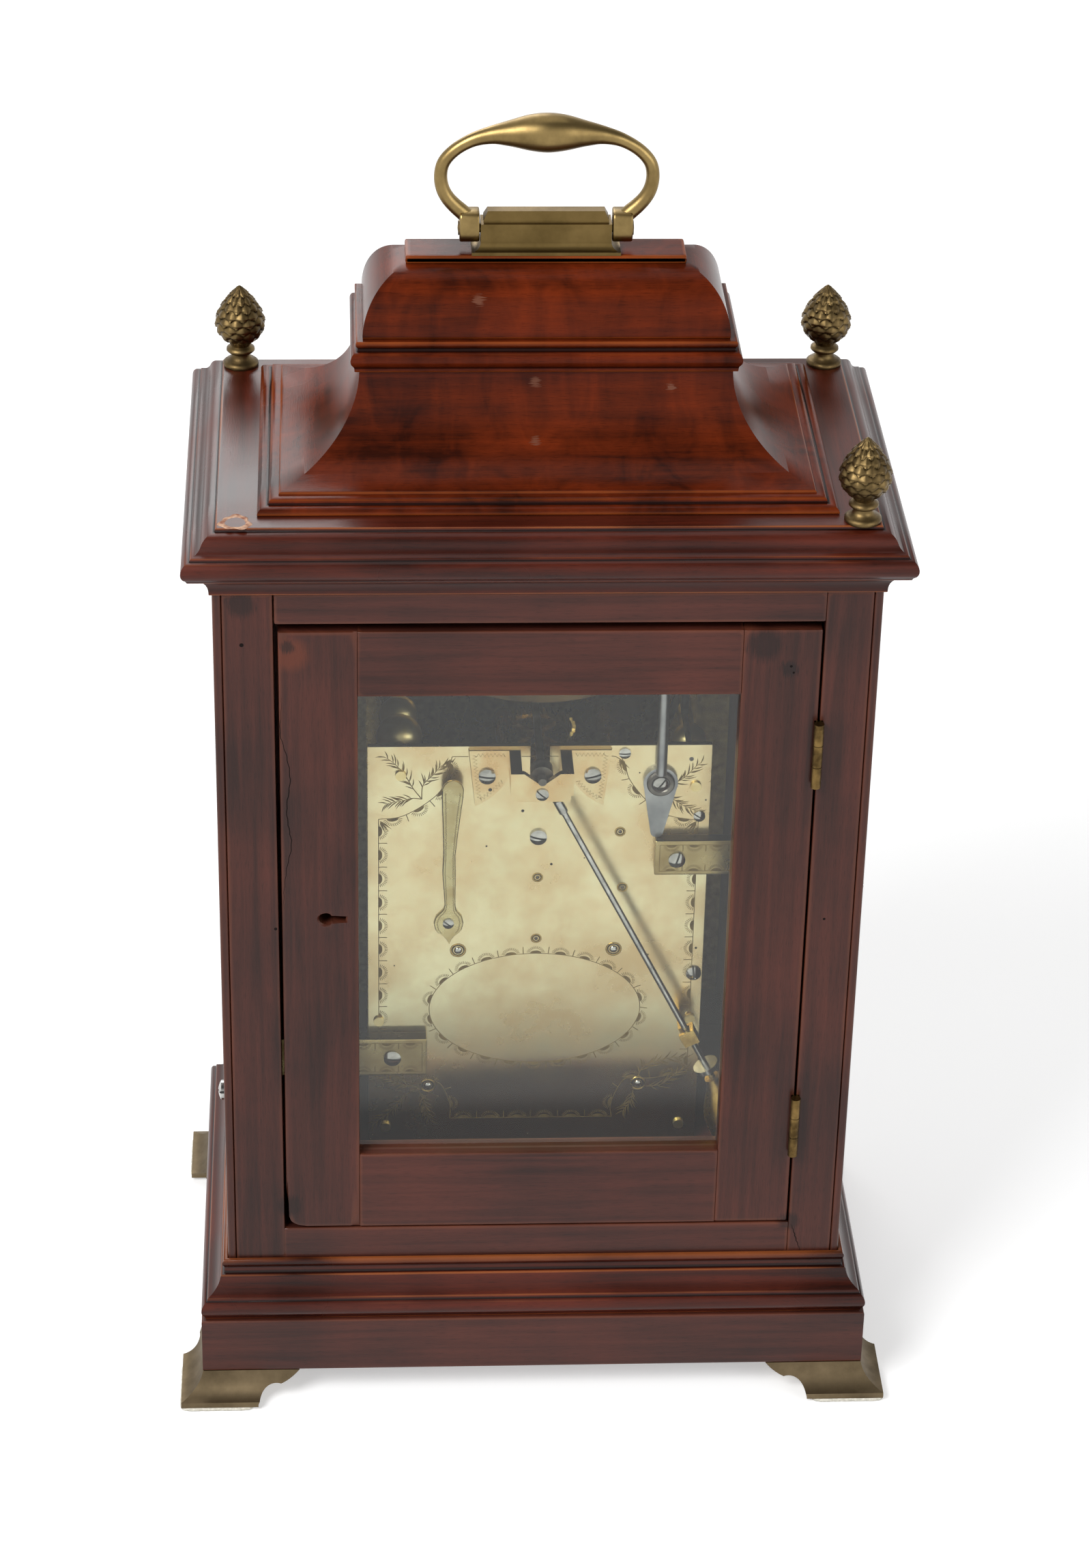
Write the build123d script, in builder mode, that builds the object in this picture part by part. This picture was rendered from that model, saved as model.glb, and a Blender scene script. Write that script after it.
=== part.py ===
from build123d import *

import os
from math import atan2, cos, degrees, hypot, pi, radians, sin, tan

os.makedirs("parts", exist_ok=True)

# The dial faces -Y, the glazed rear door faces +Y, and the clock stands on Z = 0

# Fits
run_fit = 0.06
press_fit = 0.02
door_gap = 0.8
glue_line = 0.05

# Case, from the floor up
felt_thickness = 1.5
felt_size = 29.0
felt_margin = 0.6
felt_corner = 3.0
foot_height = 11.5
foot_flare = 8.5
foot_lip = 2.4
foot_length = 46.0
foot_base = 30.0
foot_wall = 14.0
plinth_height = 24.0
plinth_overhang = 10.5
plinth_wall = 16.0
base_moulding_height = 23.0
body_width = 236.0
body_depth = 142.0
body_height = 289.0
side_board = 12.0
side_edge = 3.2
bottom_board = 10.0
cornice_height = 25.0
cornice_overhang = 10.3
cornice_crown = 10.0

# Bell top
bell_width = 204.0
bell_depth = 121.0
bell_base_height = 4.6
bell_base_width = 7.6
cove_height = 38.8
cove_inset = 28.5
cove_fillet = 0.8
cove_hollow = 34.0
waist_height = 11.4
waist_step = 3.1
dome_height = 21.9
dome_inset = 16.6
dome_setback = 1.2
cap_height = 3.0
cap_overhang = 1.4

# Brass carrying handle
pedestal_width = 52.4
pedestal_depth = 15.4
pedestal_height = 14.5
pedestal_flange = 1.2
handle_axis_height = 7.4
handle_reach = 36.4
handle_rise = 35.9
handle_grip_radius = 6.7
handle_arm_radius = 2.25
handle_sections = 9
ear_radius = 4.4
ear_width = 6.4
ear_gap = 0.4
pivot_radius = 1.6
pivot_head_radius = 2.6
pivot_head = 1.0
pivot_depth = 9.0

# Finials on three of the four corners; the fourth keeps its empty socket
finial_height = 32.0
finial_radius = 9.2
finial_foot_radius = 6.6
finial_tip = 1.0
finial_inset_x = 8.5
finial_inset_y = 6.4
finial_stud_radius = 2.1
finial_stud = 9.0

# Back of the case and the rear door
back_thickness = 12.0
lock_stile = 22.0
hinge_stile = 20.0
back_top_rail = 12.0
back_bottom_rail = 13.4
rear_door_thickness = 10.5
rear_door_stile = 28.0
rear_door_top_rail = 28.4
rear_door_bottom_rail = 33.6
glass_thickness = 2.0
glass_rebate = 5.0
glass_play = 0.5
rear_glass_depth = 3.5
keyhole_inset = 15.7
keyhole_z = 214.2
keyhole_radius = 2.5
keyhole_slot = 7.6
keyhole_slot_width = 2.4
lock_width = 20.0
lock_height = 36.0
lock_depth = 6.2
lock_wall = 1.6
bolt_height = 10.0
bolt_thickness = 3.0
bolt_setback = 1.2

# Butt hinges
hinge_length = 26.5
hinge_radius = 1.85
hinge_pin_radius = 0.9
hinge_leaf = 1.2
hinge_leaf_depth = 9.0
hinge_stand = 0.25
knuckle_gap = 0.25
rear_hinge_heights = (120.2, 283.6)
front_hinge_heights = (110.0, 292.0)

# Front door, dial mask and dial
front_door_thickness = 13.0
front_door_foot = 1.0
front_top_rail = 8.0
mask_thickness = 10.0
mask_gap = 1.0
dial_half = 75.0
dial_foot_z = 108.0
dial_shoulder_z = 258.0
dial_arch_radius = 55.0
dial_thickness = 1.5
dial_gap = 0.5
dial_cover = 3.0
sight_cover = 1.0
sight_ring_width = 2.6
sight_ring_depth = 5.0
sight_ring_stand = 0.8
front_glass_depth = 7.0
dial_foot_radius = 2.5
dial_foot_x = 52.0
dial_foot_drop = 55.0
winding_hole_radius = 4.5

# Movement plates, measured from the back of the case
plate_setback = 35.0
plate_half = 63.5
plate_foot_z = 89.5
plate_height = 177.5
plate_thickness = 2.5
motion_gap = 14.0
notch_play = 2.1
notch_drop = 8.5
seat_thickness = 10.0
seat_gap = 5.0
cleat = 12.0
pillar_radius = 3.0
pillar_pivot = 2.0
pillar_rivet = 1.0
pillar_x = (57.0, 59.5, 51.3, -57.0, -59.5, -58.0)
pillar_rise = 7.0
pillar_waist = 0.318
left_pillar_drop = 12.0
right_pillar_drop = 17.5
plain_knop = ((0.5, 4.4),)
left_knops = ((0.318, 7.3), (0.592, 8.7))
right_knop = ((0.5, 6.6),)

# Train arbors, each as its x and its share of the plate's height
centre_place = (0.0, 0.52563)
contrate_place = (0.0, 0.67887)
going_place = (29.5, 0.49690)
strike_place = (-29.5, 0.49690)
barrel_place = (40.7, 0.14704)
pin_place = (-32.0, 0.65239)
hoop_place = (-30.5, 0.79042)
warning_place = (-47.5, 0.76901)
fly_place = (-55.0, 0.69577)
minute_place = (0.0, 0.41746)
hammer_x = -56.0
hammer_drop = 6.0
verge_drop = 4.0

# Tooth counts, each wheel with the pinion that it drives
going_teeth = (84, 7)
centre_teeth = (72, 6)
contrate_teeth = (66, 6)
crown_teeth = 33
strike_teeth = (76, 8)
pin_teeth = (56, 7)
hoop_teeth = (48, 6)
warning_teeth = (42, 6)
cannon_teeth = (12, 36)
hour_teeth = (12, 48)
hammer_pins = 8

# Wheelwork; a layer is a share of the space between the plates, counted from the dial side
wheel_thickness = 2.0
wheel_rim = 2.6
spoke_width = 2.4
pinion_length = 8.0
arbor_radius = 1.15
arbor_shake = 0.4
pivot_size = 0.8
great_wheel_setback = 7.0
centre_wheel_layer = 0.137
pin_wheel_layer = 0.266
contrate_layer = 0.379
gong_layer = 0.492
crown_layer = 0.508
hoop_wheel_layer = 0.589
warning_wheel_layer = 0.750
layer_gap = 2.0
fusee_arbor_radius = 2.6
fusee_pivot = 1.6
fusee_share = 0.50
fusee_clear = 2.5
fusee_taper = 0.52
barrel_radius = 20.5
barrel_share = 0.548
winding_square = 4.2
contrate_radius = 18.0
contrate_tooth = 1.6
crown_radius = 15.0
crown_rim = 1.2
crown_drop = 12.0
crown_tooth_height = 4.2
pallet_reach = 5.0
pallet_width = 3.0
pallet_thickness = 0.9
pallet_spread = 50.0
fly_radius = 9.5
fly_width = 9.0
fly_thickness = 0.8
hammer_pin_radius = 0.8

# Hands
cannon_radius = 2.8
hour_pipe_radius = 4.2
hand_thickness = 1.2
hour_hand_stand = 2.9
minute_hand_stand = 5.9
hour_hand_length = 42.0
minute_hand_length = 62.0
hour_hand_angle = 145.0
minute_hand_angle = 30.0

# Bell and hammer
gong_radius = 42.0
gong_height = 30.0
gong_wall = 2.2
gong_rise = 23.0
gong_hole = 2.6
stand_x = -44.8
stand_drop = 15.1
stand_tip_drop = 21.0
stand_radius = 2.0
stand_foot = 2.0
stand_rise = 12.0
stand_bend = 14.0
stem_rise = 4.2
hammer_above = 4.0
hammer_head_radius = 4.5
hammer_head_length = 15.0
hammer_gap = 1.0
hammer_rod = 1.5
tail_gap = 0.4
tail_clear = 3.0
tail_half = 1.0

# Fittings on the back plate
cheek_thickness = 2.0
cheek_margin = 0.8
cheek_reach = 26.2
cheek_taper = 2.4
cheek_drop = 24.4
cheek_waist = 11.7
cheek_bulge = 1.2
cock_play = 3.1
cock_arm = 4.2
cock_arm_drop = 10.0
cock_gap = 1.0
apron_thickness = 2.5
apron_taper = 1.1
apron_drop = 12.5
vee_angle = 52.0
screw_shank = 1.3
screw_head_radius = 2.9
screw_head = 1.5
screw_slot = 0.8
screw_slot_depth = 0.7
screw_turns = (25.0, -40.0, 80.0, 10.0, -65.0, 35.0, -20.0, 60.0, -5.0, 45.0)
cheek_screw_x = 19.5
cheek_screw_drop = 11.4
apron_screw_rise = 3.2
potence_screw_place = (0.0, 0.7803)
potence_hold = 4.0
bracket_screw_inset = 11.2
bracket_screw_drop = 2.0
plate_screw_places = ((-31.3, 0.982), (-59.8, 0.8282), (-60.3, 0.4344))
bracket_thickness = 1.8
bracket_height = 17.0
bracket_flange = 22.0
bracket_tongue = 5.0
right_bracket_drop = 47.5
left_bracket_rise = 40.0
bracket_inner = 42.0
side_screw_stand = 17.0
side_screw_drop = 3.5
side_screw_radius = 2.0
side_screw_head_radius = 3.8
side_screw_head = 2.8
spring_x = 33.0
spring_drop = 77.5
spring_length = 63.5
spring_width = 10.5
spring_foot_radius = 5.5
spring_thickness = 1.0
spring_lift = 5.0

# Pendulum, parked in its holdfast
pendulum_lean = 26.6
pendulum_stand = 12.5
rod_radius = 1.2
rod_end = 153.0
bob_top = 152.0
bob_length = 33.0
bob_radius = 11.3
bob_neck = 3.2
collar_place = 145.5
collar_radius = 5.0
ferrule_place = 13.2
ferrule_radius = 1.8
ferrule_length = 5.5
verge_radius = 1.5
verge_boss_radius = 4.2
verge_boss_half = 3.0
verge_overhang = 0.6
holdfast_place = 130.3
holdfast_width = 6.0
holdfast_wall = 1.4
holdfast_play = 0.4


def on_plate(place):
    return (place[0], plate_foot_z + place[1] * plate_height)


# Levels and limits that follow from the sizes above
half_width = body_width / 2
half_depth = body_depth / 2
plinth_z = felt_thickness + foot_height
base_z = plinth_z + plinth_height
body_z = base_z + base_moulding_height
cornice_z = body_z + body_height
top_z = cornice_z + cornice_height
waist_z = top_z + cove_height
dome_z = waist_z + waist_height
cap_z = dome_z + dome_height
pedestal_z = cap_z + cap_height
handle_z = pedestal_z + handle_axis_height
inner_half = half_width - side_board
plinth_half = half_width + plinth_overhang
plinth_half_depth = half_depth + plinth_overhang
foot_half = plinth_half + foot_flare
foot_half_depth = plinth_half_depth + foot_flare
cove_half = bell_width / 2 - bell_base_width
cove_half_depth = bell_depth / 2 - bell_base_width
waist_half = cove_half - cove_inset + waist_step
waist_half_depth = cove_half_depth - cove_inset + waist_step
dome_half = waist_half - waist_step - dome_setback
dome_half_depth = waist_half_depth - waist_step - dome_setback
cap_half = dome_half - dome_inset + cap_overhang
cap_half_depth = dome_half_depth - dome_inset + cap_overhang
back_plate_y = half_depth - plate_setback
plate_inner_back = back_plate_y - plate_thickness
plate_top_z = plate_foot_z + plate_height
seat_z = plate_foot_z - seat_thickness
lock_edge = half_width - lock_stile
hinge_edge = -half_width + hinge_stile
rear_door_left = lock_edge - door_gap
rear_door_right = hinge_edge + door_gap
rear_door_top = cornice_z - back_top_rail - door_gap
rear_door_foot = body_z + back_bottom_rail + door_gap
rear_door_inner = half_depth - rear_door_thickness
glass_left = rear_door_left - rear_door_stile
glass_right = rear_door_right + rear_door_stile
glass_top = rear_door_top - rear_door_top_rail
glass_foot = rear_door_foot + rear_door_bottom_rail
glass_outer_y = half_depth - rear_glass_depth
front_door_half = inner_half - door_gap
front_door_z = body_z + front_door_foot
front_door_top = cornice_z - front_top_rail - door_gap
front_inner_y = -half_depth + front_door_thickness
mask_front_y = front_inner_y + mask_gap
mask_back_y = mask_front_y + mask_thickness
dial_front_y = mask_back_y + dial_gap
dial_back_y = dial_front_y + dial_thickness
front_plate_y = dial_back_y + motion_gap
plate_inner_front = front_plate_y + plate_thickness
plate_gap = plate_inner_back - plate_inner_front
seat_front = mask_back_y + seat_gap
keyhole_x = rear_door_left - keyhole_inset
great_wheel_y = plate_inner_back - great_wheel_setback
centre_wheel_y = plate_inner_front + centre_wheel_layer * plate_gap
pin_wheel_y = plate_inner_front + pin_wheel_layer * plate_gap
contrate_web_y = plate_inner_front + contrate_layer * plate_gap
gong_y = plate_inner_front + gong_layer * plate_gap
crown_y = plate_inner_front + crown_layer * plate_gap
hoop_wheel_y = plate_inner_front + hoop_wheel_layer * plate_gap
warning_wheel_y = plate_inner_front + warning_wheel_layer * plate_gap
fusee_length = fusee_share * plate_gap
barrel_length = barrel_share * plate_gap
hammer_pin_length = pin_wheel_y - wheel_thickness - centre_wheel_y - layer_gap
hour_hand_y = dial_front_y - hour_hand_stand
minute_hand_y = dial_front_y - minute_hand_stand
centre_axis = on_plate(centre_place)
contrate_axis = on_plate(contrate_place)
going_axis = on_plate(going_place)
strike_axis = on_plate(strike_place)
barrel_axis = on_plate(barrel_place)
pin_axis = on_plate(pin_place)
hoop_axis = on_plate(hoop_place)
warning_axis = on_plate(warning_place)
fly_axis = on_plate(fly_place)
minute_axis = on_plate(minute_place)
hammer_axis = (hammer_x, plate_top_z - hammer_drop)
right_bracket_z = plate_top_z - right_bracket_drop
left_bracket_z = plate_foot_z + left_bracket_rise
spring_foot_z = plate_top_z - spring_drop
verge_z = plate_top_z - verge_drop
crown_web_z = verge_z - crown_drop
gong_z = plate_top_z + gong_rise
stand_z = plate_top_z - stand_drop
side_screw_y = back_plate_y + side_screw_stand
pendulum_y = back_plate_y + pendulum_stand
pillar_waist_z = plate_foot_z + pillar_waist * plate_height
pillar_foot_z = plate_foot_z + pillar_rise
left_pillars = (pillar_foot_z, pillar_waist_z, plate_top_z - left_pillar_drop)
right_pillars = (pillar_foot_z, pillar_waist_z, plate_top_z - right_pillar_drop)
notch_half = verge_radius + notch_play
cock_inner = verge_boss_radius + cock_play
cock_outer = cock_inner + cock_arm
apron_inner_y = pendulum_y + verge_boss_half + cock_gap
cock_face_y = apron_inner_y + apron_thickness
cock_top_z = plate_top_z - cheek_margin
apron_foot_z = plate_top_z - apron_drop
rear_hinge_x = (hinge_edge + rear_door_right) / 2
rear_hinge_y = half_depth + hinge_radius + hinge_stand
front_hinge_x = (inner_half + front_door_half) / 2
front_hinge_y = -half_depth - hinge_radius - hinge_stand


def slab(y):
    # A drawing plane with X across and Z up, whose normal points to the dial
    return Plane.XZ.offset(-y)


def arbor_plane(axis, y, turn=0):
    across = (cos(radians(turn)), 0, sin(radians(turn)))
    return Plane((axis[0], y, axis[1]), x_dir=across, z_dir=(0, -1, 0))


def board(x, y, z, mode=Mode.ADD):
    # A squared board between two limits along each axis
    middle = tuple((low + high) / 2 for low, high in (x, y, z))
    with Locations(middle):
        Box(abs(x[1] - x[0]), abs(y[1] - y[0]), abs(z[1] - z[0]), mode=mode)


def disc(plane, radius, length, mode=Mode.ADD):
    with BuildSketch(plane) as face:
        Circle(radius)
    extrude(face.sketch, amount=length, mode=mode)


def mitred(half_x, half_y, edge):
    # A block whose four sides carry the same moulded edge, mitred at the corners
    for plane, half, reach, mode in (
        (Plane.XZ, half_x, half_y, Mode.ADD),
        (Plane.YZ, half_y, half_x, Mode.INTERSECT),
    ):
        with BuildSketch(plane) as section:
            with BuildLine():
                edge(half)
            make_face()
            mirror(about=Plane.YZ)
        extrude(section.sketch, amount=2 * reach, both=True, mode=mode)


def foot_edge(half):
    low = felt_thickness
    lip = low + foot_lip
    Polyline((0, plinth_z), (0, low), (half + foot_flare, low), (half + foot_flare, lip))
    rise = plinth_z - lip
    ThreePointArc(
        (half + foot_flare, lip),
        (half + foot_flare * 0.32, lip + rise * 0.36),
        (half, plinth_z),
    )
    Line((half, plinth_z), (0, plinth_z))


def plinth_edge(half):
    Polyline((0, plinth_z), (half, plinth_z), (half, base_z), (0, base_z), close=True)


def base_edge(half):
    # Recess, torus, cavetto, fillet and bead, from the plinth to the body
    out = plinth_overhang
    rise = base_moulding_height
    recess = (half + out * 0.86, base_z + rise * 0.06)
    torus_top = (half + out * 0.86, base_z + rise * 0.34)
    cavetto_foot = (half + out * 0.78, base_z + rise * 0.40)
    cavetto_top = (half + out * 0.28, base_z + rise * 0.72)
    bead_foot = (half + out * 0.13, base_z + rise * 0.86)
    bead_top = (half + out * 0.13, base_z + rise)
    Polyline((0, base_z + rise), (0, base_z), (recess[0], base_z), recess)
    ThreePointArc(recess, (half + out, base_z + rise * 0.20), torus_top)
    Polyline(torus_top, (cavetto_foot[0], torus_top[1]), cavetto_foot)
    ThreePointArc(cavetto_foot, (half + out * 0.42, base_z + rise * 0.53), cavetto_top)
    Polyline(cavetto_top, (bead_foot[0], cavetto_top[1]), bead_foot)
    ThreePointArc(bead_foot, (half + out * 0.21, base_z + rise * 0.93), bead_top)
    Line(bead_top, (0, base_z + rise))


def cornice_edge(half):
    # Cove, torus nose, ogee and top fillet, from the body upwards
    out = cornice_overhang
    rise = cornice_height
    cove_foot = (half + out * 0.10, cornice_z)
    cove_top = (half + out * 0.66, cornice_z + rise * 0.34)
    torus_foot = (half + out * 0.80, cornice_z + rise * 0.38)
    torus_top = (half + out * 0.80, cornice_z + rise * 0.66)
    ogee_foot = (half + out * 0.68, cornice_z + rise * 0.70)
    ogee_turn = (half + out * 0.30, cornice_z + rise * 0.83)
    ogee_top = (half - out * 0.06, cornice_z + rise * 0.95)
    lip = (half - out * 0.16, cornice_z + rise)
    Polyline((0, top_z), (0, cornice_z), cove_foot)
    ThreePointArc(cove_foot, (half + out * 0.25, cornice_z + rise * 0.23), cove_top)
    Polyline(cove_top, (torus_foot[0], cove_top[1]), torus_foot)
    ThreePointArc(torus_foot, (half + out, cornice_z + rise * 0.52), torus_top)
    Polyline(torus_top, (ogee_foot[0], torus_top[1]), ogee_foot)
    ThreePointArc(ogee_foot, (half + out * 0.44, cornice_z + rise * 0.74), ogee_turn)
    ThreePointArc(ogee_turn, (half + out * 0.13, cornice_z + rise * 0.92), ogee_top)
    Polyline(ogee_top, (lip[0], ogee_top[1]), lip, (0, top_z))


def bell_base_edge(half):
    # Quarter round, fillet and thin bead round the foot of the bell
    wide = bell_base_width
    rise = bell_base_height
    round_top = (half - wide * 0.42, top_z + rise * 0.55)
    Polyline((0, top_z + rise), (0, top_z), (half, top_z), (half, top_z + rise * 0.12))
    ThreePointArc(
        (half, top_z + rise * 0.12),
        (half - wide * 0.11, top_z + rise * 0.44),
        round_top,
    )
    Polyline(
        round_top,
        (half - wide * 0.55, round_top[1]),
        (half - wide * 0.55, top_z + rise * 0.85),
        (half - wide * 0.72, top_z + rise),
        (0, top_z + rise),
    )


def cove_edge(half):
    foot = top_z + bell_base_height + cove_fillet
    inner = half - cove_inset
    rise = waist_z - foot
    radius = (cove_inset**2 + rise**2) / (2 * cove_inset)
    side = degrees(atan2(rise, radius - cove_inset))
    middle = radians(180 + side / 2)
    Polyline((0, waist_z), (0, top_z), (half, top_z), (half, foot))
    ThreePointArc(
        (half, foot),
        (inner + radius + radius * cos(middle), waist_z + radius * sin(middle)),
        (inner, waist_z),
    )
    Line((inner, waist_z), (0, waist_z))


def waist_edge(half):
    # Fillet, torus, groove and bead between the cove and the dome
    rise = waist_height
    back = half - waist_step * 0.45
    groove = half - waist_step * 0.85
    bead = half - waist_step * 0.60
    torus_foot = (back, waist_z + rise * 0.18)
    torus_top = (back, waist_z + rise * 0.66)
    Polyline((0, dome_z), (0, waist_z), (back, waist_z), torus_foot)
    ThreePointArc(torus_foot, (half, waist_z + rise * 0.42), torus_top)
    Polyline(
        torus_top,
        (groove, torus_top[1]),
        (groove, waist_z + rise * 0.80),
        (bead, waist_z + rise * 0.84),
        (bead, dome_z),
        (0, dome_z),
    )


def dome_edge(half):
    inner = half - dome_inset
    Polyline((0, cap_z), (0, dome_z), (half, dome_z))
    EllipticalCenterArc((inner, dome_z), dome_inset, dome_height, start_angle=0, arc_size=degrees(pi / 2))
    Line((inner, cap_z), (0, cap_z))


def cap_edge(half):
    Polyline((0, cap_z), (half, cap_z), (half, pedestal_z), (0, pedestal_z), close=True)


def pedestal_edge(half):
    flange = (half, pedestal_z + pedestal_flange)
    waist = (half - 3.2, pedestal_z + 3.4)
    shoulder = (half - 3.2, pedestal_z + pedestal_height * 0.72)
    step = (half - 4.2, pedestal_z + pedestal_height * 0.80)
    top = (half - 5.6, pedestal_z + pedestal_height)
    Polyline((0, top[1]), (0, pedestal_z), (half, pedestal_z), flange)
    ThreePointArc(flange, (half - 2.5, pedestal_z + 1.9), waist)
    Polyline(waist, shoulder, (step[0], shoulder[1]), step, top, (0, top[1]))


def hinge_spans(height):
    # Three knuckles of one butt hinge: the middle one belongs to the door
    pitch = hinge_length / 3
    foot = height - hinge_length / 2
    return [(foot + i * pitch, foot + (i + 1) * pitch - knuckle_gap) for i in range(3)]


def leaf_limits(axis_x, face_y, inward, toward, height):
    # The plate of a leaf, let into the edge of the wood beside the gap
    near = axis_x + toward * door_gap / 2
    x = sorted((near, near + toward * hinge_leaf))
    y = sorted((face_y, face_y + inward * hinge_leaf_depth))
    return x, y, (height - hinge_length / 2, height + hinge_length / 2)


def hinge_leaves(axis_x, axis_y, inward, toward, heights, knuckles):
    face_y = axis_y + inward * (hinge_radius + hinge_stand)
    for height in heights:
        x, y, z = leaf_limits(axis_x, face_y, inward, toward, height)
        board(x, y, z)
        for low, high in [hinge_spans(height)[i] for i in knuckles]:
            board(x, sorted((face_y, axis_y)), (low, high))
            disc(Plane((axis_x, axis_y, low)), hinge_radius, high - low)
        disc(Plane((axis_x, axis_y, z[0])), hinge_pin_radius + run_fit, hinge_length, Mode.SUBTRACT)


def leaf_beds(axis_x, axis_y, inward, toward, heights):
    face_y = axis_y + inward * (hinge_radius + hinge_stand)
    for height in heights:
        board(*leaf_limits(axis_x, face_y, inward, toward, height), mode=Mode.SUBTRACT)


def arch_shape(grow):
    # The break-arch outline shared by the dial, its mask, the glass and the sight ring
    with Locations((0, (dial_foot_z + dial_shoulder_z) / 2)):
        Rectangle(2 * (dial_half + grow), dial_shoulder_z - dial_foot_z + 2 * grow)
    with Locations((0, dial_shoulder_z)):
        Circle(dial_arch_radius + grow)


def arch_plate(y, length, grow, mode=Mode.ADD):
    with BuildSketch(slab(y)) as outline:
        arch_shape(grow)
    extrude(outline.sketch, amount=length, mode=mode)


def spread(a, b):
    return hypot(b[0] - a[0], b[1] - a[1])


def mesh_angle(a, b):
    return degrees(atan2(b[1] - a[1], b[0] - a[0]))


def mesh_module(a, b, counts):
    return 2 * spread(a, b) / sum(counts)


def wheel_points(module, teeth, phase):
    # Pointed wheel teeth, two corners at the root and one at the tip
    pitch = 2 * pi / teeth
    root = module * (teeth / 2 - 1.2)
    tip = module * (teeth / 2 + 0.95)
    points = []
    for tooth in range(teeth):
        middle = radians(phase) + tooth * pitch
        for radius, share in ((root, -0.3), (tip, 0.0), (root, 0.3)):
            angle = middle + share * pitch
            points.append((radius * cos(angle), radius * sin(angle)))
    return points


def pinion_points(module, leaves, phase):
    # Flat-topped pinion leaves, narrower than the gaps between them
    pitch = 2 * pi / leaves
    root = module * (leaves / 2 - 1.2)
    tip = module * (leaves / 2 + 0.75)
    points = []
    for leaf in range(leaves):
        middle = radians(phase) + leaf * pitch
        for radius, share in ((root, -0.2), (tip, -0.1), (tip, 0.1), (root, 0.2)):
            angle = middle + share * pitch
            points.append((radius * cos(angle), radius * sin(angle)))
    return points


def crossing_radius(axis, mate, counts):
    # How far the crossings reach out, from the wheel's centre to the inside of its rim
    return mesh_module(axis, mate, counts) * (counts[0] / 2 - 1.2) - wheel_rim


def wheel(axis, y, mate, counts, hub, spokes=4):
    # A crossed-out wheel that drives a pinion on the mate's axis
    module = mesh_module(axis, mate, counts)
    inner = crossing_radius(axis, mate, counts)
    with BuildSketch(arbor_plane(axis, y)) as outline:
        Polygon(*wheel_points(module, counts[0], mesh_angle(axis, mate)))
        Circle(inner, mode=Mode.SUBTRACT)
        for spoke in range(spokes // 2):
            Rectangle(2 * inner + wheel_rim, spoke_width, rotation=360 / spokes * spoke + 45)
        Circle(hub)
    extrude(outline.sketch, amount=wheel_thickness)


def pinion(axis, y, driver, counts, length=pinion_length):
    # The pinion driven from the driver's axis, with a gap facing the driver's tooth
    module = mesh_module(driver, axis, counts)
    phase = mesh_angle(axis, driver) + 180 / counts[1]
    with BuildSketch(arbor_plane(axis, y)) as outline:
        Polygon(*pinion_points(module, counts[1], phase))
    extrude(outline.sketch, amount=length)


def arbor(axis, radius=arbor_radius, pivot=pivot_size):
    # A turned arbor between the plates with a pivot in each
    disc(arbor_plane(axis, plate_inner_back - arbor_shake), radius, plate_gap - 2 * arbor_shake)
    disc(arbor_plane(axis, back_plate_y), pivot, plate_gap + 2 * plate_thickness)


def pivot_holes(y, axes):
    for axis, radius in axes:
        disc(arbor_plane(axis, y), radius + run_fit, plate_thickness, Mode.SUBTRACT)


# Feet, plinth and base moulding
with BuildPart() as felt_pads:
    inset = felt_size / 2 - felt_margin
    with BuildSketch():
        with GridLocations(2 * (foot_half - inset), 2 * (foot_half_depth - inset), 2, 2):
            RectangleRounded(felt_size, felt_size, felt_corner)
    extrude(amount=felt_thickness)

with BuildPart() as bracket_feet:
    mitred(plinth_half, plinth_half_depth, foot_edge)
    board(
        (foot_wall - plinth_half, plinth_half - foot_wall),
        (foot_wall - plinth_half_depth, plinth_half_depth - foot_wall),
        (0, plinth_z),
        mode=Mode.SUBTRACT,
    )
    for plane, outer, reach in (
        (Plane.XZ, foot_half, foot_half_depth),
        (Plane.YZ, foot_half_depth, foot_half),
    ):
        heel = outer - foot_base
        toe = outer - foot_length
        cusp = (heel * 0.45 + toe * 0.55, felt_thickness + foot_height * 0.55)
        with BuildSketch(plane):
            with BuildLine():
                Polyline((0, plinth_z), (0, 0), (heel, 0), (heel, felt_thickness + 1))
                ThreePointArc(
                    (heel, felt_thickness + 1),
                    (cusp[0] * 0.35 + heel * 0.65, cusp[1] - 0.9),
                    cusp,
                )
                ThreePointArc(
                    cusp,
                    (cusp[0] * 0.35 + toe * 0.65, plinth_z - 2.6),
                    (toe, plinth_z),
                )
                Line((toe, plinth_z), (0, plinth_z))
            make_face()
            mirror(about=Plane.YZ)
        extrude(amount=2 * reach, both=True, mode=Mode.SUBTRACT)

with BuildPart() as plinth:
    mitred(plinth_half, plinth_half_depth, plinth_edge)
    board(
        (plinth_wall - plinth_half, plinth_half - plinth_wall),
        (plinth_wall - plinth_half_depth, plinth_half_depth - plinth_wall),
        (plinth_z, base_z),
        mode=Mode.SUBTRACT,
    )

with BuildPart() as base_moulding:
    mitred(half_width, half_depth, base_edge)
    board(
        (-half_width, half_width),
        (-half_depth, half_depth),
        (base_z, body_z),
        mode=Mode.SUBTRACT,
    )

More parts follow.
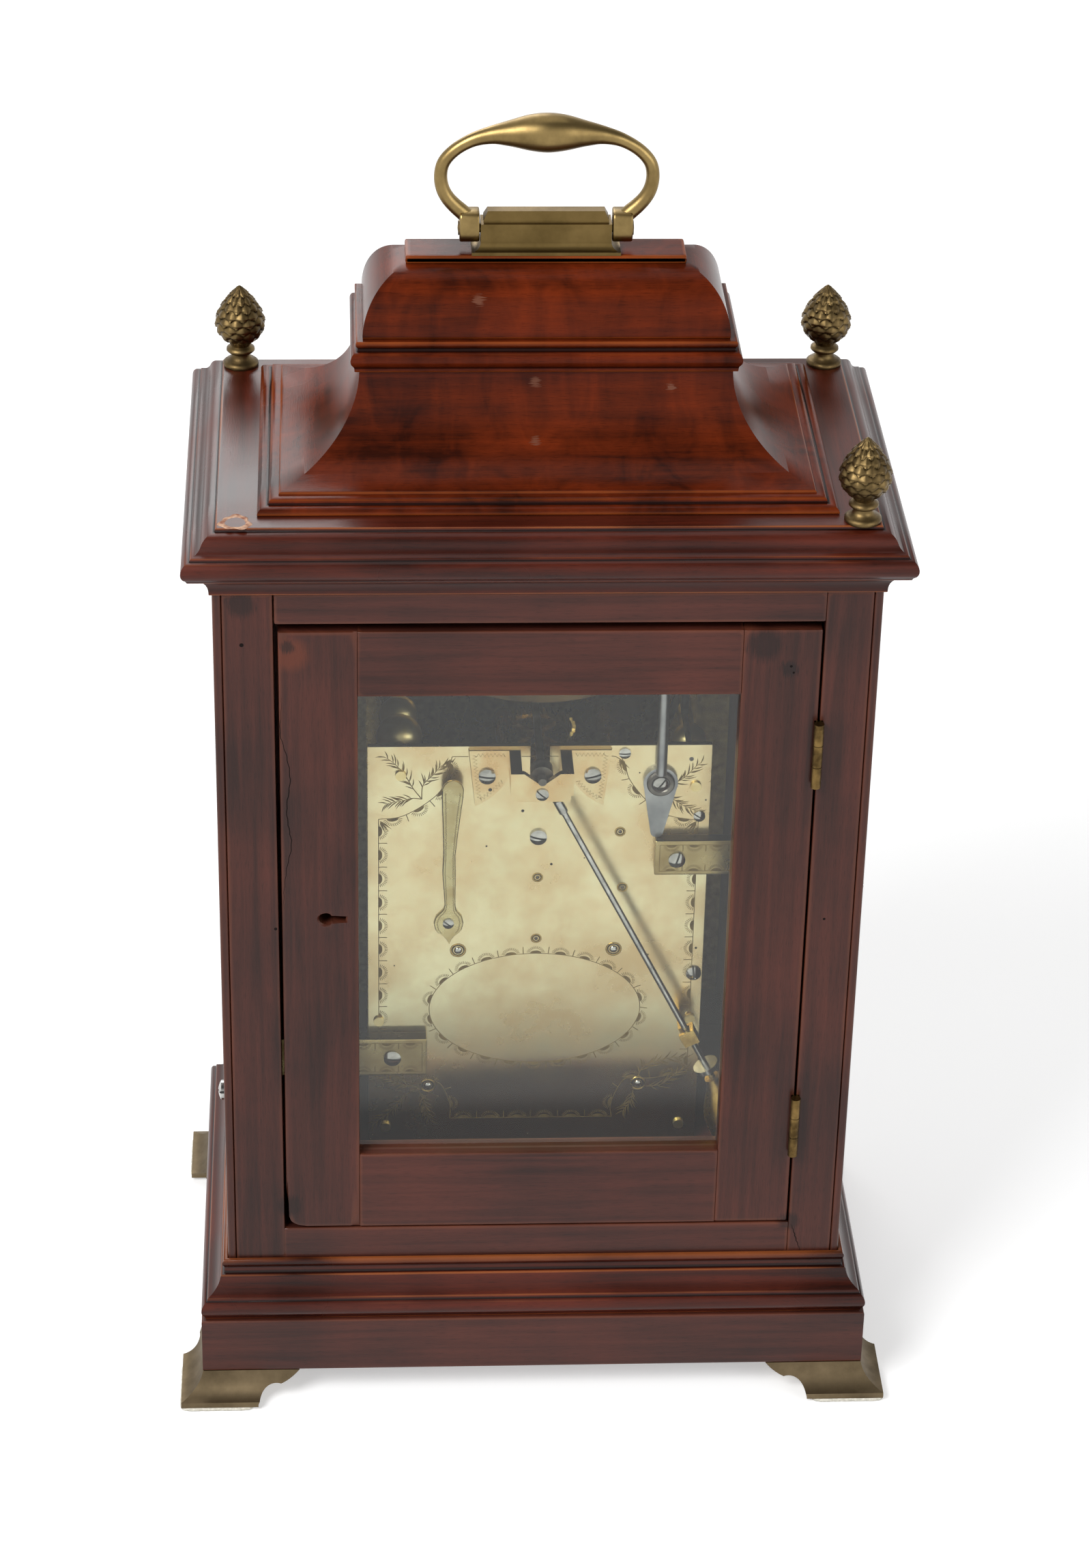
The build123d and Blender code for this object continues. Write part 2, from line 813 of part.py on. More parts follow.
# Carcase
with BuildPart() as case_sides:
    rebate_y = half_depth - back_thickness
    rebate_x = half_width - side_edge
    with BuildSketch(Plane.XY.offset(base_z)):
        with BuildLine():
            Polyline(
                (inner_half, -half_depth),
                (half_width, -half_depth),
                (half_width, half_depth),
                (rebate_x, half_depth),
                (rebate_x, rebate_y),
                (inner_half, rebate_y),
                close=True,
            )
        make_face()
    extrude(amount=cornice_z - base_z)
    mirror(about=Plane.YZ)
    for side, height in ((1, left_bracket_z), (-1, right_bracket_z)):
        with BuildSketch(Plane.YZ.offset(side * inner_half)):
            with Locations((side_screw_y, height - side_screw_drop)):
                Circle(side_screw_radius + run_fit)
        extrude(amount=side * side_board, mode=Mode.SUBTRACT)
    leaf_beds(front_hinge_x, front_hinge_y, 1, 1, front_hinge_heights)

with BuildPart() as back_stiles:
    for x in ((lock_edge, half_width - side_edge), (side_edge - half_width, hinge_edge)):
        board(x, (half_depth - back_thickness, half_depth), (base_z, cornice_z))
    leaf_beds(rear_hinge_x, rear_hinge_y, -1, -1, rear_hinge_heights)

with BuildPart() as case_rails:
    back_y = (half_depth - back_thickness, half_depth)
    front_y = (-half_depth, mask_front_y - glue_line)
    board((hinge_edge, lock_edge), back_y, (cornice_z - back_top_rail, cornice_z))
    board((hinge_edge, lock_edge), back_y, (base_z, body_z + back_bottom_rail))
    board((-inner_half, inner_half), front_y, (cornice_z - front_top_rail, cornice_z))
    board((-inner_half, inner_half), front_y, (base_z, body_z + front_door_foot - door_gap))
    board((-inner_half, inner_half), (mask_front_y, back_y[0]), (base_z, base_z + bottom_board))

with BuildPart() as dial_mask:
    board(
        (-inner_half, inner_half),
        (mask_front_y, mask_back_y),
        (base_z + bottom_board, cornice_z),
    )
    arch_plate(mask_back_y, mask_thickness, -sight_cover, mode=Mode.SUBTRACT)

with BuildPart() as seat_board:
    board((-inner_half, inner_half), (seat_front, back_plate_y), (seat_z, plate_foot_z))
    for x in ((inner_half - cleat, inner_half), (-inner_half, cleat - inner_half)):
        board(x, (seat_front, back_plate_y), (seat_z - cleat, seat_z - glue_line))

with BuildPart() as cornice:
    mitred(half_width, half_depth, cornice_edge)
    board(
        (-inner_half, inner_half),
        (back_thickness - half_depth, half_depth - back_thickness),
        (cornice_z, top_z - cornice_crown),
        mode=Mode.SUBTRACT,
    )
    finial_x = half_width - finial_inset_x
    finial_y = half_depth - finial_inset_y
    with Locations((0, 0, top_z)):
        with GridLocations(2 * finial_x, 2 * finial_y, 2, 2):
            Hole(finial_stud_radius + press_fit, finial_stud)

# Bell top
with BuildPart() as bell_base_moulding:
    mitred(bell_width / 2, bell_depth / 2, bell_base_edge)
    board(
        (-cove_half, cove_half),
        (-cove_half_depth, cove_half_depth),
        (top_z, top_z + bell_base_height),
        mode=Mode.SUBTRACT,
    )

with BuildPart() as bell_cove:
    mitred(cove_half, cove_half_depth, cove_edge)
    board(
        (cove_hollow - cove_half, cove_half - cove_hollow),
        (cove_hollow - cove_half_depth, cove_half_depth - cove_hollow),
        (top_z, waist_z - bottom_board),
        mode=Mode.SUBTRACT,
    )

with BuildPart() as waist_moulding:
    mitred(waist_half, waist_half_depth, waist_edge)

with BuildPart() as dome:
    mitred(dome_half, dome_half_depth, dome_edge)

with BuildPart() as cap_block:
    mitred(cap_half, cap_half_depth, cap_edge)

# Handle, its pedestal and the two pivot screws
ear_x = pedestal_width / 2 - 3.2 + ear_gap

with BuildPart() as handle_pedestal:
    mitred(pedestal_width / 2, pedestal_depth / 2, pedestal_edge)
    for side in (1, -1):
        with BuildSketch(Plane.YZ.offset(side * ear_x)):
            with Locations((0, handle_z)):
                Circle(pivot_radius + press_fit)
        extrude(amount=-side * pivot_depth, mode=Mode.SUBTRACT)
    for side in (1, -1):
        with BuildSketch(Plane.YZ.offset(side * (ear_x - pivot_depth + glue_line))):
            with Locations((0, handle_z)):
                Circle(pivot_radius)
        extrude(amount=side * (pivot_depth - glue_line + ear_width))
        with BuildSketch(Plane.YZ.offset(side * (ear_x + ear_width + run_fit))):
            with Locations((0, handle_z)):
                Circle(pivot_head_radius)
        extrude(amount=side * pivot_head)
        with BuildSketch(Plane.YZ.offset(side * (ear_x + ear_width))):
            with Locations((0, handle_z)):
                Circle(pivot_radius)
        extrude(amount=side * pivot_head)

with BuildPart() as handle_bail:
    neck = (ear_x + ear_width / 2, handle_z + ear_radius * 0.9)
    side_arm = (handle_reach, handle_z + handle_rise * 0.53)
    shoulder = (handle_reach * 0.72, handle_z + handle_rise * 0.87)
    with BuildLine(Plane.XZ) as bow:
        Spline(
            (0, handle_z + handle_rise),
            shoulder,
            side_arm,
            neck,
            tangents=((1, 0), (-0.7, -0.7)),
        )
    for step in range(handle_sections):
        station = step / (handle_sections - 1)
        point = bow.line @ station
        swell = max(0.0, cos(pi / 2 * point.X / handle_reach)) ** 1.6
        with BuildSketch(Plane(point, x_dir=(0, 1, 0), z_dir=bow.line % station)):
            Circle(handle_arm_radius + (handle_grip_radius - handle_arm_radius) * swell)
    loft()
    with BuildSketch(Plane.YZ.offset(ear_x)):
        with Locations((0, handle_z)):
            Circle(ear_radius)
        with Locations((0, handle_z + ear_radius * 0.6)):
            Rectangle(2 * ear_radius * 0.8, ear_radius * 1.2)
    extrude(amount=ear_width)
    with BuildSketch(Plane.YZ.offset(ear_x)):
        with Locations((0, handle_z)):
            Circle(pivot_radius + run_fit)
    extrude(amount=ear_width, mode=Mode.SUBTRACT)
    mirror(about=Plane.YZ)

# One turned finial, repeated on three corners
with BuildPart() as finial:
    with BuildSketch(Plane.XZ):
        with BuildLine():
            Polyline(
                (0, -finial_stud),
                (finial_stud_radius, -finial_stud),
                (finial_stud_radius, 0),
                (finial_foot_radius, 0),
                (finial_foot_radius, finial_height * 0.05),
                (finial_foot_radius * 0.55, finial_height * 0.15),
                (finial_foot_radius * 0.85, finial_height * 0.22),
                (finial_foot_radius * 0.60, finial_height * 0.27),
            )
            Spline(
                (finial_foot_radius * 0.60, finial_height * 0.27),
                (finial_radius * 0.86, finial_height * 0.38),
                (finial_radius, finial_height * 0.52),
                (finial_radius * 0.66, finial_height * 0.81),
                (finial_tip, finial_height),
            )
            Line((finial_tip, finial_height), (0, finial_height))
            Line((0, finial_height), (0, -finial_stud))
        make_face()
    revolve(axis=Axis.Z)

with BuildPart() as finials:
    with Locations(
        (-finial_x, finial_y, top_z),
        (-finial_x, -finial_y, top_z),
        (finial_x, -finial_y, top_z),
    ):
        add(finial.part)

# Rear door
door_y = (rear_door_inner, half_depth)
rebate_y = (rear_door_inner, glass_outer_y)
pane_x = (glass_right - glass_rebate, glass_left + glass_rebate)
pane_z = (glass_foot - glass_rebate, glass_top + glass_rebate)

with BuildPart() as rear_door_stiles:
    for x in ((glass_left, rear_door_left), (rear_door_right, glass_right)):
        board(x, door_y, (rear_door_foot, rear_door_top))
    board(pane_x, rebate_y, pane_z, mode=Mode.SUBTRACT)
    leaf_beds(rear_hinge_x, rear_hinge_y, -1, 1, rear_hinge_heights)
    with BuildSketch(slab(half_depth)):
        with Locations((keyhole_x, keyhole_z)):
            Circle(keyhole_radius)
        with Locations((keyhole_x - keyhole_slot / 2, keyhole_z)):
            Rectangle(keyhole_slot, keyhole_slot_width)
    extrude(amount=rear_door_thickness, mode=Mode.SUBTRACT)

with BuildPart() as rear_door_rails:
    for z in ((glass_top, rear_door_top), (rear_door_foot, glass_foot)):
        board((glass_right, glass_left), door_y, z)
    board(pane_x, rebate_y, pane_z, mode=Mode.SUBTRACT)

with BuildPart() as rear_door_glass:
    board(
        (pane_x[0] + glass_play, pane_x[1] - glass_play),
        (glass_outer_y - glass_thickness, glass_outer_y),
        (pane_z[0] + glass_play, pane_z[1] - glass_play),
    )

with BuildPart() as rear_door_leaves:
    hinge_leaves(rear_hinge_x, rear_hinge_y, -1, 1, rear_hinge_heights, (1,))

lock_x = (glass_left + glass_rebate + lock_wall, glass_left + glass_rebate + lock_wall + lock_width)
lock_y = (rear_door_inner - lock_depth, rear_door_inner)
bolt_y = rear_door_inner - lock_depth / 2
bolt_end = rear_door_left - bolt_setback

with BuildPart() as rear_lock:
    board(lock_x, lock_y, (keyhole_z - lock_height / 2, keyhole_z + lock_height / 2))
    board(
        (lock_x[0] + lock_wall, lock_x[1]),
        (bolt_y - bolt_thickness / 2 - run_fit, bolt_y + bolt_thickness / 2 + run_fit),
        (keyhole_z - bolt_height / 2 - run_fit, keyhole_z + bolt_height / 2 + run_fit),
        mode=Mode.SUBTRACT,
    )
    disc(arbor_plane((keyhole_x, keyhole_z), rear_door_inner), keyhole_radius, 1.5, Mode.SUBTRACT)

with BuildPart() as rear_lock_bolt:
    board(
        (lock_x[0] + lock_wall + run_fit, bolt_end),
        (bolt_y - bolt_thickness / 2, bolt_y + bolt_thickness / 2),
        (keyhole_z - bolt_height / 2, keyhole_z + bolt_height / 2),
    )

# Front door
with BuildPart() as front_door_frame:
    frame_y = (-half_depth, front_inner_y)
    for x in ((dial_half, front_door_half), (-front_door_half, -dial_half)):
        board(x, frame_y, (front_door_z, front_door_top))
    leaf_beds(front_hinge_x, front_hinge_y, 1, -1, front_hinge_heights)
    for z in ((dial_shoulder_z, front_door_top), (front_door_z, dial_foot_z)):
        board((glue_line - dial_half, dial_half - glue_line), frame_y, z)
    arch_plate(front_inner_y, front_door_thickness, 0, Mode.SUBTRACT)
    arch_plate(front_inner_y, front_door_thickness - front_glass_depth, glass_rebate, Mode.SUBTRACT)

with BuildPart() as front_door_glass:
    arch_plate(-half_depth + front_glass_depth + glass_thickness, glass_thickness, glass_rebate - glass_play)

with BuildPart() as front_sight_ring:
    arch_plate(-half_depth + sight_ring_depth, sight_ring_depth + sight_ring_stand, -glue_line)
    arch_plate(
        -half_depth + sight_ring_depth,
        sight_ring_depth + sight_ring_stand,
        -sight_ring_width,
        Mode.SUBTRACT,
    )

with BuildPart() as front_door_leaves:
    hinge_leaves(front_hinge_x, front_hinge_y, 1, -1, front_hinge_heights, (1,))

with BuildPart() as case_hinges:
    hinge_leaves(rear_hinge_x, rear_hinge_y, -1, -1, rear_hinge_heights, (0, 2))
    hinge_leaves(front_hinge_x, front_hinge_y, 1, 1, front_hinge_heights, (0, 2))
    for axis_x, axis_y, heights in (
        (rear_hinge_x, rear_hinge_y, rear_hinge_heights),
        (front_hinge_x, front_hinge_y, front_hinge_heights),
    ):
        for height in heights:
            plane = Plane((axis_x, axis_y, height - hinge_length / 2))
            disc(plane, hinge_pin_radius, hinge_length - knuckle_gap)

# Dial and hands
with BuildPart() as dial:
    arch_plate(dial_back_y, dial_thickness, dial_cover)
    disc(arbor_plane(centre_axis, dial_back_y), hour_pipe_radius + 0.5, dial_thickness, Mode.SUBTRACT)
    for axis in (going_axis, strike_axis):
        disc(arbor_plane(axis, dial_back_y), winding_hole_radius, dial_thickness, Mode.SUBTRACT)
    for x in (dial_foot_x, -dial_foot_x):
        for z in (centre_axis[1] - dial_foot_drop, centre_axis[1] + dial_foot_drop):
            disc(arbor_plane((x, z), front_plate_y), dial_foot_radius, motion_gap)


def clock_hand(y, length, angle, bore):
    # A pierced hand: ringed boss, waisted blade and spear point
    boss = bore + 2.2
    ring = length * 0.075
    middle = length * 0.56
    with BuildSketch(arbor_plane(centre_axis, y, angle)) as outline:
        Circle(boss)
        with Locations((middle, 0)):
            Circle(ring)
            Circle(ring * 0.55, mode=Mode.SUBTRACT)
        Polygon((0, 1.5), (0, -1.5), (middle - ring * 0.8, -0.8), (middle - ring * 0.8, 0.8))
        Polygon(
            (middle + ring * 0.8, 0.7),
            (middle + ring * 0.8, -0.7),
            (length * 0.80, -ring * 0.5),
            (length, 0),
            (length * 0.80, ring * 0.5),
        )
        Circle(bore, mode=Mode.SUBTRACT)
    extrude(outline.sketch, amount=hand_thickness)


with BuildPart() as hour_hand:
    clock_hand(hour_hand_y, hour_hand_length, hour_hand_angle, hour_pipe_radius + press_fit)

with BuildPart() as minute_hand:
    clock_hand(minute_hand_y, minute_hand_length, minute_hand_angle, cannon_radius + press_fit)

# Screws of the back plate, each as its place, its seat and its reach into the work
cheek_seat = (back_plate_y + cheek_thickness, cheek_thickness + plate_thickness)
cheek_screws = [((side * cheek_screw_x, plate_top_z - cheek_screw_drop), *cheek_seat) for side in (1, -1)]
apron_screws = [((0, apron_foot_z + apron_screw_rise), cock_face_y, apron_thickness)]
potence_screws = [(on_plate(potence_screw_place), back_plate_y, plate_thickness + potence_hold)]
stand_screws = [((stand_x, stand_z), back_plate_y + stand_foot, stand_foot + plate_thickness)]
bracket_seat = (back_plate_y + bracket_thickness, bracket_thickness + plate_thickness)
bracket_screw_x = bracket_inner + bracket_screw_inset
bracket_screws = [
    ((bracket_screw_x, left_bracket_z - bracket_screw_drop), *bracket_seat),
    ((-bracket_screw_x, right_bracket_z - bracket_screw_drop), *bracket_seat),
]
plate_screws = [(on_plate(place), back_plate_y, plate_thickness) for place in plate_screw_places]


def screw_holes(screws):
    for place, seat, reach in screws:
        disc(arbor_plane(place, seat), screw_shank + run_fit, reach, Mode.SUBTRACT)


# Plates and pillars
barrel_axes = (barrel_axis, (-barrel_axis[0], barrel_axis[1]))
small_axes = (contrate_axis, pin_axis, hoop_axis, warning_axis, fly_axis, hammer_axis)
pillar_axes = list(zip(pillar_x, left_pillars + right_pillars))
pillar_knops = (plain_knop, plain_knop, left_knops, plain_knop, plain_knop, right_knop)
arbor_fits = [(axis, pivot_size) for axis in small_axes]
arbor_fits += [(axis, fusee_pivot) for axis in barrel_axes]

with BuildPart() as back_plate:
    board((-plate_half, plate_half), (plate_inner_back, back_plate_y), (plate_foot_z, plate_top_z))
    board(
        (-notch_half, notch_half),
        (plate_inner_back, back_plate_y),
        (verge_z - notch_drop, plate_top_z),
        mode=Mode.SUBTRACT,
    )
    pivot_holes(back_plate_y, arbor_fits + [(centre_axis, pivot_size)])
    pivot_holes(back_plate_y, [(axis, fusee_pivot) for axis in (going_axis, strike_axis)])
    pivot_holes(back_plate_y, [(axis, pillar_pivot) for axis in pillar_axes])
    screw_holes(cheek_screws + potence_screws + stand_screws + bracket_screws + plate_screws)

with BuildPart() as front_plate:
    board((-plate_half, plate_half), (front_plate_y, plate_inner_front), (plate_foot_z, plate_top_z))
    pivot_holes(plate_inner_front, arbor_fits + [((0, verge_z), pivot_size)])
    pivot_holes(plate_inner_front, [(centre_axis, arbor_radius)])
    pivot_holes(plate_inner_front, [(axis, fusee_arbor_radius) for axis in (going_axis, strike_axis)])
    pivot_holes(plate_inner_front, [(axis, pillar_pivot) for axis in pillar_axes])
    disc(arbor_plane(minute_axis, front_plate_y), arbor_radius, motion_gap - 3)

with BuildPart() as plate_pillars:
    for axis, knops in zip(pillar_axes, pillar_knops):
        disc(arbor_plane(axis, plate_inner_back), pillar_radius, plate_gap)
        for layer, knop in knops:
            with Locations((axis[0], plate_inner_front + layer * plate_gap, axis[1])):
                Sphere(knop)
        ends = plate_gap + 2 * (plate_thickness + pillar_rivet)
        disc(arbor_plane(axis, back_plate_y + pillar_rivet), pillar_pivot, ends)

# Fusees and spring barrels
for_fusees = (
    ("going_fusee", going_axis, centre_axis, going_teeth),
    ("strike_fusee", strike_axis, pin_axis, strike_teeth),
)
fusees = {}
for name, axis, mate, counts in for_fusees:
    with BuildPart() as fusee:
        cone_base = crossing_radius(axis, mate, counts) - fusee_clear
        wheel(axis, great_wheel_y, mate, counts, cone_base * 0.5)
        cone_y = great_wheel_y - wheel_thickness
        with BuildSketch(arbor_plane(axis, cone_y)):
            Circle(cone_base)
        with BuildSketch(arbor_plane(axis, cone_y - fusee_length)):
            Circle(cone_base * fusee_taper)
        loft()
        disc(
            arbor_plane(axis, plate_inner_back - arbor_shake),
            fusee_arbor_radius,
            plate_inner_back - arbor_shake - front_plate_y,
        )
        disc(arbor_plane(axis, back_plate_y), fusee_pivot, plate_thickness + 1)
        with BuildSketch(arbor_plane(axis, front_plate_y)):
            Rectangle(winding_square, winding_square)
        extrude(amount=motion_gap + dial_thickness)
    fusees[name] = fusee

barrels = {}
for name, axis in zip(("going_barrel", "strike_barrel"), barrel_axes):
    with BuildPart() as barrel:
        arbor(axis, fusee_arbor_radius, fusee_pivot)
        disc(arbor_plane(axis, great_wheel_y - wheel_thickness), barrel_radius, barrel_length)
        for y in (great_wheel_y - wheel_thickness, great_wheel_y - barrel_length):
            disc(arbor_plane(axis, y), barrel_radius + 0.9, wheel_thickness)
    barrels[name] = barrel

# Going train
pinion_y = great_wheel_y + (pinion_length - wheel_thickness) / 2

with BuildPart() as centre_wheel:
    disc(
        arbor_plane(centre_axis, plate_inner_back - arbor_shake),
        arbor_radius,
        plate_inner_back - arbor_shake - minute_hand_y + hand_thickness,
    )
    disc(arbor_plane(centre_axis, back_plate_y), pivot_size, plate_thickness + 1)
    pinion(centre_axis, pinion_y, going_axis, going_teeth)
    wheel(centre_axis, centre_wheel_y, contrate_axis, centre_teeth, 5)
    disc(
        arbor_plane(centre_axis, front_plate_y - 0.5),
        cannon_radius,
        front_plate_y - 0.5 - minute_hand_y + hand_thickness,
    )
    with BuildSketch(arbor_plane(centre_axis, front_plate_y - 1.5)):
        module = mesh_module(centre_axis, minute_axis, cannon_teeth)
        phase = mesh_angle(centre_axis, minute_axis) + 180 / cannon_teeth[0]
        Polygon(*pinion_points(module, cannon_teeth[0], phase))
    extrude(amount=wheel_thickness + 1)

rack_pitch = 2 * pi * contrate_radius / contrate_teeth[0]
crown_pinion_module = rack_pitch / pi
crown_pinion_radius = crown_pinion_module * contrate_teeth[1] / 2
rack_line = crown_y - crown_pinion_radius

with BuildPart() as contrate_wheel:
    arbor(contrate_axis)
    pinion(contrate_axis, centre_wheel_y + 3, centre_axis, centre_teeth)
    rim_back = rack_line - 0.8 * crown_pinion_module * 1.5
    rim = contrate_radius + contrate_tooth / 2
    with BuildSketch(arbor_plane(contrate_axis, contrate_web_y)):
        Circle(rim)
        Circle(rim - wheel_rim, mode=Mode.SUBTRACT)
        for turn in (45, 135):
            Rectangle(2 * rim - wheel_rim, spoke_width, rotation=turn)
        Circle(4)
    extrude(amount=wheel_thickness)
    with BuildSketch(arbor_plane(contrate_axis, rim_back)):
        Circle(rim)
        Circle(rim - contrate_tooth, mode=Mode.SUBTRACT)
    extrude(amount=rim_back - contrate_web_y)
    for tooth in range(contrate_teeth[0]):
        angle = pi / 2 + 2 * pi * tooth / contrate_teeth[0]
        out = (cos(angle), 0, sin(angle))
        inner = rim - contrate_tooth
        with BuildSketch(
            Plane(
                (inner * out[0], rim_back, contrate_axis[1] + inner * out[2]),
                x_dir=(-sin(angle), 0, cos(angle)),
                z_dir=out,
            )
        ):
            rise = rack_line + 0.85 * crown_pinion_module - rim_back
            side = -1 if Plane((0, 0, 0), x_dir=(-sin(angle), 0, cos(angle)), z_dir=out).y_dir.Y < 0 else 1
            Polygon(
                (-rack_pitch * 0.29, 0),
                (rack_pitch * 0.29, 0),
                (rack_pitch * 0.08, side * rise),
                (-rack_pitch * 0.08, side * rise),
            )
    extrude(amount=contrate_tooth)

with BuildPart() as crown_wheel:
    pinion_z = contrate_axis[1] + contrate_radius
    with BuildSketch(Plane((0, crown_y, pinion_z - pinion_length / 2))):
        Polygon(*pinion_points(crown_pinion_module, contrate_teeth[1], -90 + 180 / contrate_teeth[1]))
    extrude(amount=pinion_length)
    foot = pinion_z - 9
    disc(Plane((0, crown_y, foot)), arbor_radius * 0.8, crown_web_z - foot)
    with BuildSketch(Plane((0, crown_y, crown_web_z))):
        Circle(crown_radius)
        Circle(crown_radius - wheel_rim, mode=Mode.SUBTRACT)
        for turn in (45, 135):
            Rectangle(2 * crown_radius - wheel_rim, spoke_width, rotation=turn)
        Circle(3.5)
    extrude(amount=wheel_thickness)
    for tooth in range(crown_teeth):
        angle = 2 * pi * tooth / crown_teeth
        out = (cos(angle), sin(angle), 0)
        inner = crown_radius - crown_rim
        width = 2 * pi * crown_radius / crown_teeth
        with BuildSketch(
            Plane(
                (inner * out[0], crown_y + inner * out[1], crown_web_z + wheel_thickness - 0.2),
                x_dir=(-sin(angle), cos(angle), 0),
                z_dir=out,
            )
        ):
            Polygon((-width * 0.44, 0), (width * 0.44, 0), (width * 0.40, crown_tooth_height))
    extrude(amount=crown_rim)

with BuildPart() as potence:
    post_y = plate_inner_back - 6
    arms = ((pinion_z - 9 - 2.4, pinion_z - 9 + 0.6), (crown_web_z - 5, crown_web_z - 2))
    board((-5, 5), (post_y, plate_inner_back), (arms[0][0], arms[1][1]))
    for low, high in arms:
        board((-3, 3), (crown_y - 3, post_y), (low, high))
    disc(Plane((0, crown_y, pinion_z - 9)), arbor_radius * 0.8 + run_fit, crown_web_z, Mode.SUBTRACT)
    screw_holes(potence_screws)

# Striking train
with BuildPart() as pin_wheel:
    arbor(pin_axis)
    pinion(pin_axis, pinion_y, strike_axis, strike_teeth)
    wheel(pin_axis, pin_wheel_y, hoop_axis, pin_teeth, 4)
    module = mesh_module(pin_axis, hoop_axis, pin_teeth)
    pin_circle = module * (pin_teeth[0] / 2 - 1.2) - wheel_rim / 2
    for pin in range(hammer_pins):
        angle = 2 * pi * pin / hammer_pins
        place = (pin_axis[0] + pin_circle * cos(angle), pin_axis[1] + pin_circle * sin(angle))
        disc(arbor_plane(place, pin_wheel_y), hammer_pin_radius, wheel_thickness + hammer_pin_length)

with BuildPart() as hoop_wheel:
    arbor(hoop_axis)
    pinion(hoop_axis, pin_wheel_y + 3, pin_axis, pin_teeth)
    wheel(hoop_axis, hoop_wheel_y, warning_axis, hoop_teeth, 4)

with BuildPart() as warning_wheel:
    arbor(warning_axis)
    pinion(warning_axis, hoop_wheel_y + 3, hoop_axis, hoop_teeth)
    wheel(warning_axis, warning_wheel_y, fly_axis, warning_teeth, 4)

with BuildPart() as fly:
    arbor(fly_axis)
    pinion(fly_axis, warning_wheel_y + 3, warning_axis, warning_teeth)
    vane_y = plate_inner_back - 1.5
    board(
        (fly_axis[0] - fly_radius, fly_axis[0] + fly_radius),
        (vane_y - fly_width, vane_y),
        (fly_axis[1] - fly_thickness / 2, fly_axis[1] + fly_thickness / 2),
    )
    disc(arbor_plane(fly_axis, vane_y), 2, fly_width)

# Motion work between the front plate and the dial
minute_y = front_plate_y - 2
hour_y = minute_y - wheel_thickness - 2

with BuildPart() as minute_wheel:
    module = mesh_module(centre_axis, minute_axis, cannon_teeth)
    with BuildSketch(arbor_plane(minute_axis, minute_y)):
        Polygon(*wheel_points(module, cannon_teeth[1], mesh_angle(minute_axis, centre_axis)))
    extrude(amount=wheel_thickness)
    module = mesh_module(centre_axis, minute_axis, hour_teeth)
    phase = mesh_angle(minute_axis, centre_axis) + 180 / hour_teeth[0]
    with BuildSketch(arbor_plane(minute_axis, minute_y - wheel_thickness)):
        Polygon(*pinion_points(module, hour_teeth[0], phase))
    extrude(amount=wheel_thickness + 2.5)
    disc(arbor_plane(minute_axis, minute_y), arbor_radius + run_fit, motion_gap, Mode.SUBTRACT)

with BuildPart() as hour_wheel:
    module = mesh_module(centre_axis, minute_axis, hour_teeth)
    with BuildSketch(arbor_plane(centre_axis, hour_y)):
        Polygon(*wheel_points(module, hour_teeth[1], mesh_angle(centre_axis, minute_axis)))
    extrude(amount=wheel_thickness)
    pipe_length = hour_y - hour_hand_y + hand_thickness
    disc(arbor_plane(centre_axis, hour_y), hour_pipe_radius, pipe_length)
    disc(arbor_plane(centre_axis, hour_y), cannon_radius + run_fit, pipe_length, Mode.SUBTRACT)

# Bell, its stand and the hammer
with BuildPart() as strike_bell:
    crown = gong_z + gong_height
    waist = (gong_radius * 0.80, gong_z + gong_height * 0.52)
    with BuildSketch(Plane.XZ.offset(-gong_y)):
        with BuildLine():
            ThreePointArc((gong_radius, gong_z), waist, (gong_hole, crown))
            Line((gong_hole, crown), (gong_hole, crown - gong_wall))
            ThreePointArc(
                (gong_hole, crown - gong_wall),
                (waist[0] - gong_wall, waist[1] - gong_wall * 0.7),
                (gong_radius - gong_wall, gong_z),
            )
            Line((gong_radius - gong_wall, gong_z), (gong_radius, gong_z))
        make_face()
    revolve(axis=Axis((0, gong_y, 0), (0, 0, 1)))

with BuildPart() as bell_stand:
    stand_y = back_plate_y + stand_radius + 0.5
    arch_z = gong_z + gong_height + stand_rise
    with BuildSketch(slab(back_plate_y + stand_foot)):
        with Locations((stand_x, stand_z)):
            Circle(6.4)
        with Locations((stand_x + 0.8, stand_z - stand_tip_drop)):
            Circle(2.4)
        make_hull()
    extrude(amount=stand_foot)
    with BuildLine() as stem:
        FilletPolyline(
            (stand_x, stand_y, stand_z + stem_rise),
            (stand_x, stand_y, arch_z),
            (0, gong_y, arch_z),
            (0, gong_y, gong_z + gong_height - gong_wall - 3),
            radius=stand_bend,
        )
    with BuildSketch(Plane(stem.line @ 0, z_dir=stem.line % 0)):
        Circle(stand_radius)
    sweep(path=stem.line)
    disc(Plane((0, gong_y, gong_z + gong_height + 0.3)), 4.5, 3)
    screw_holes(stand_screws)

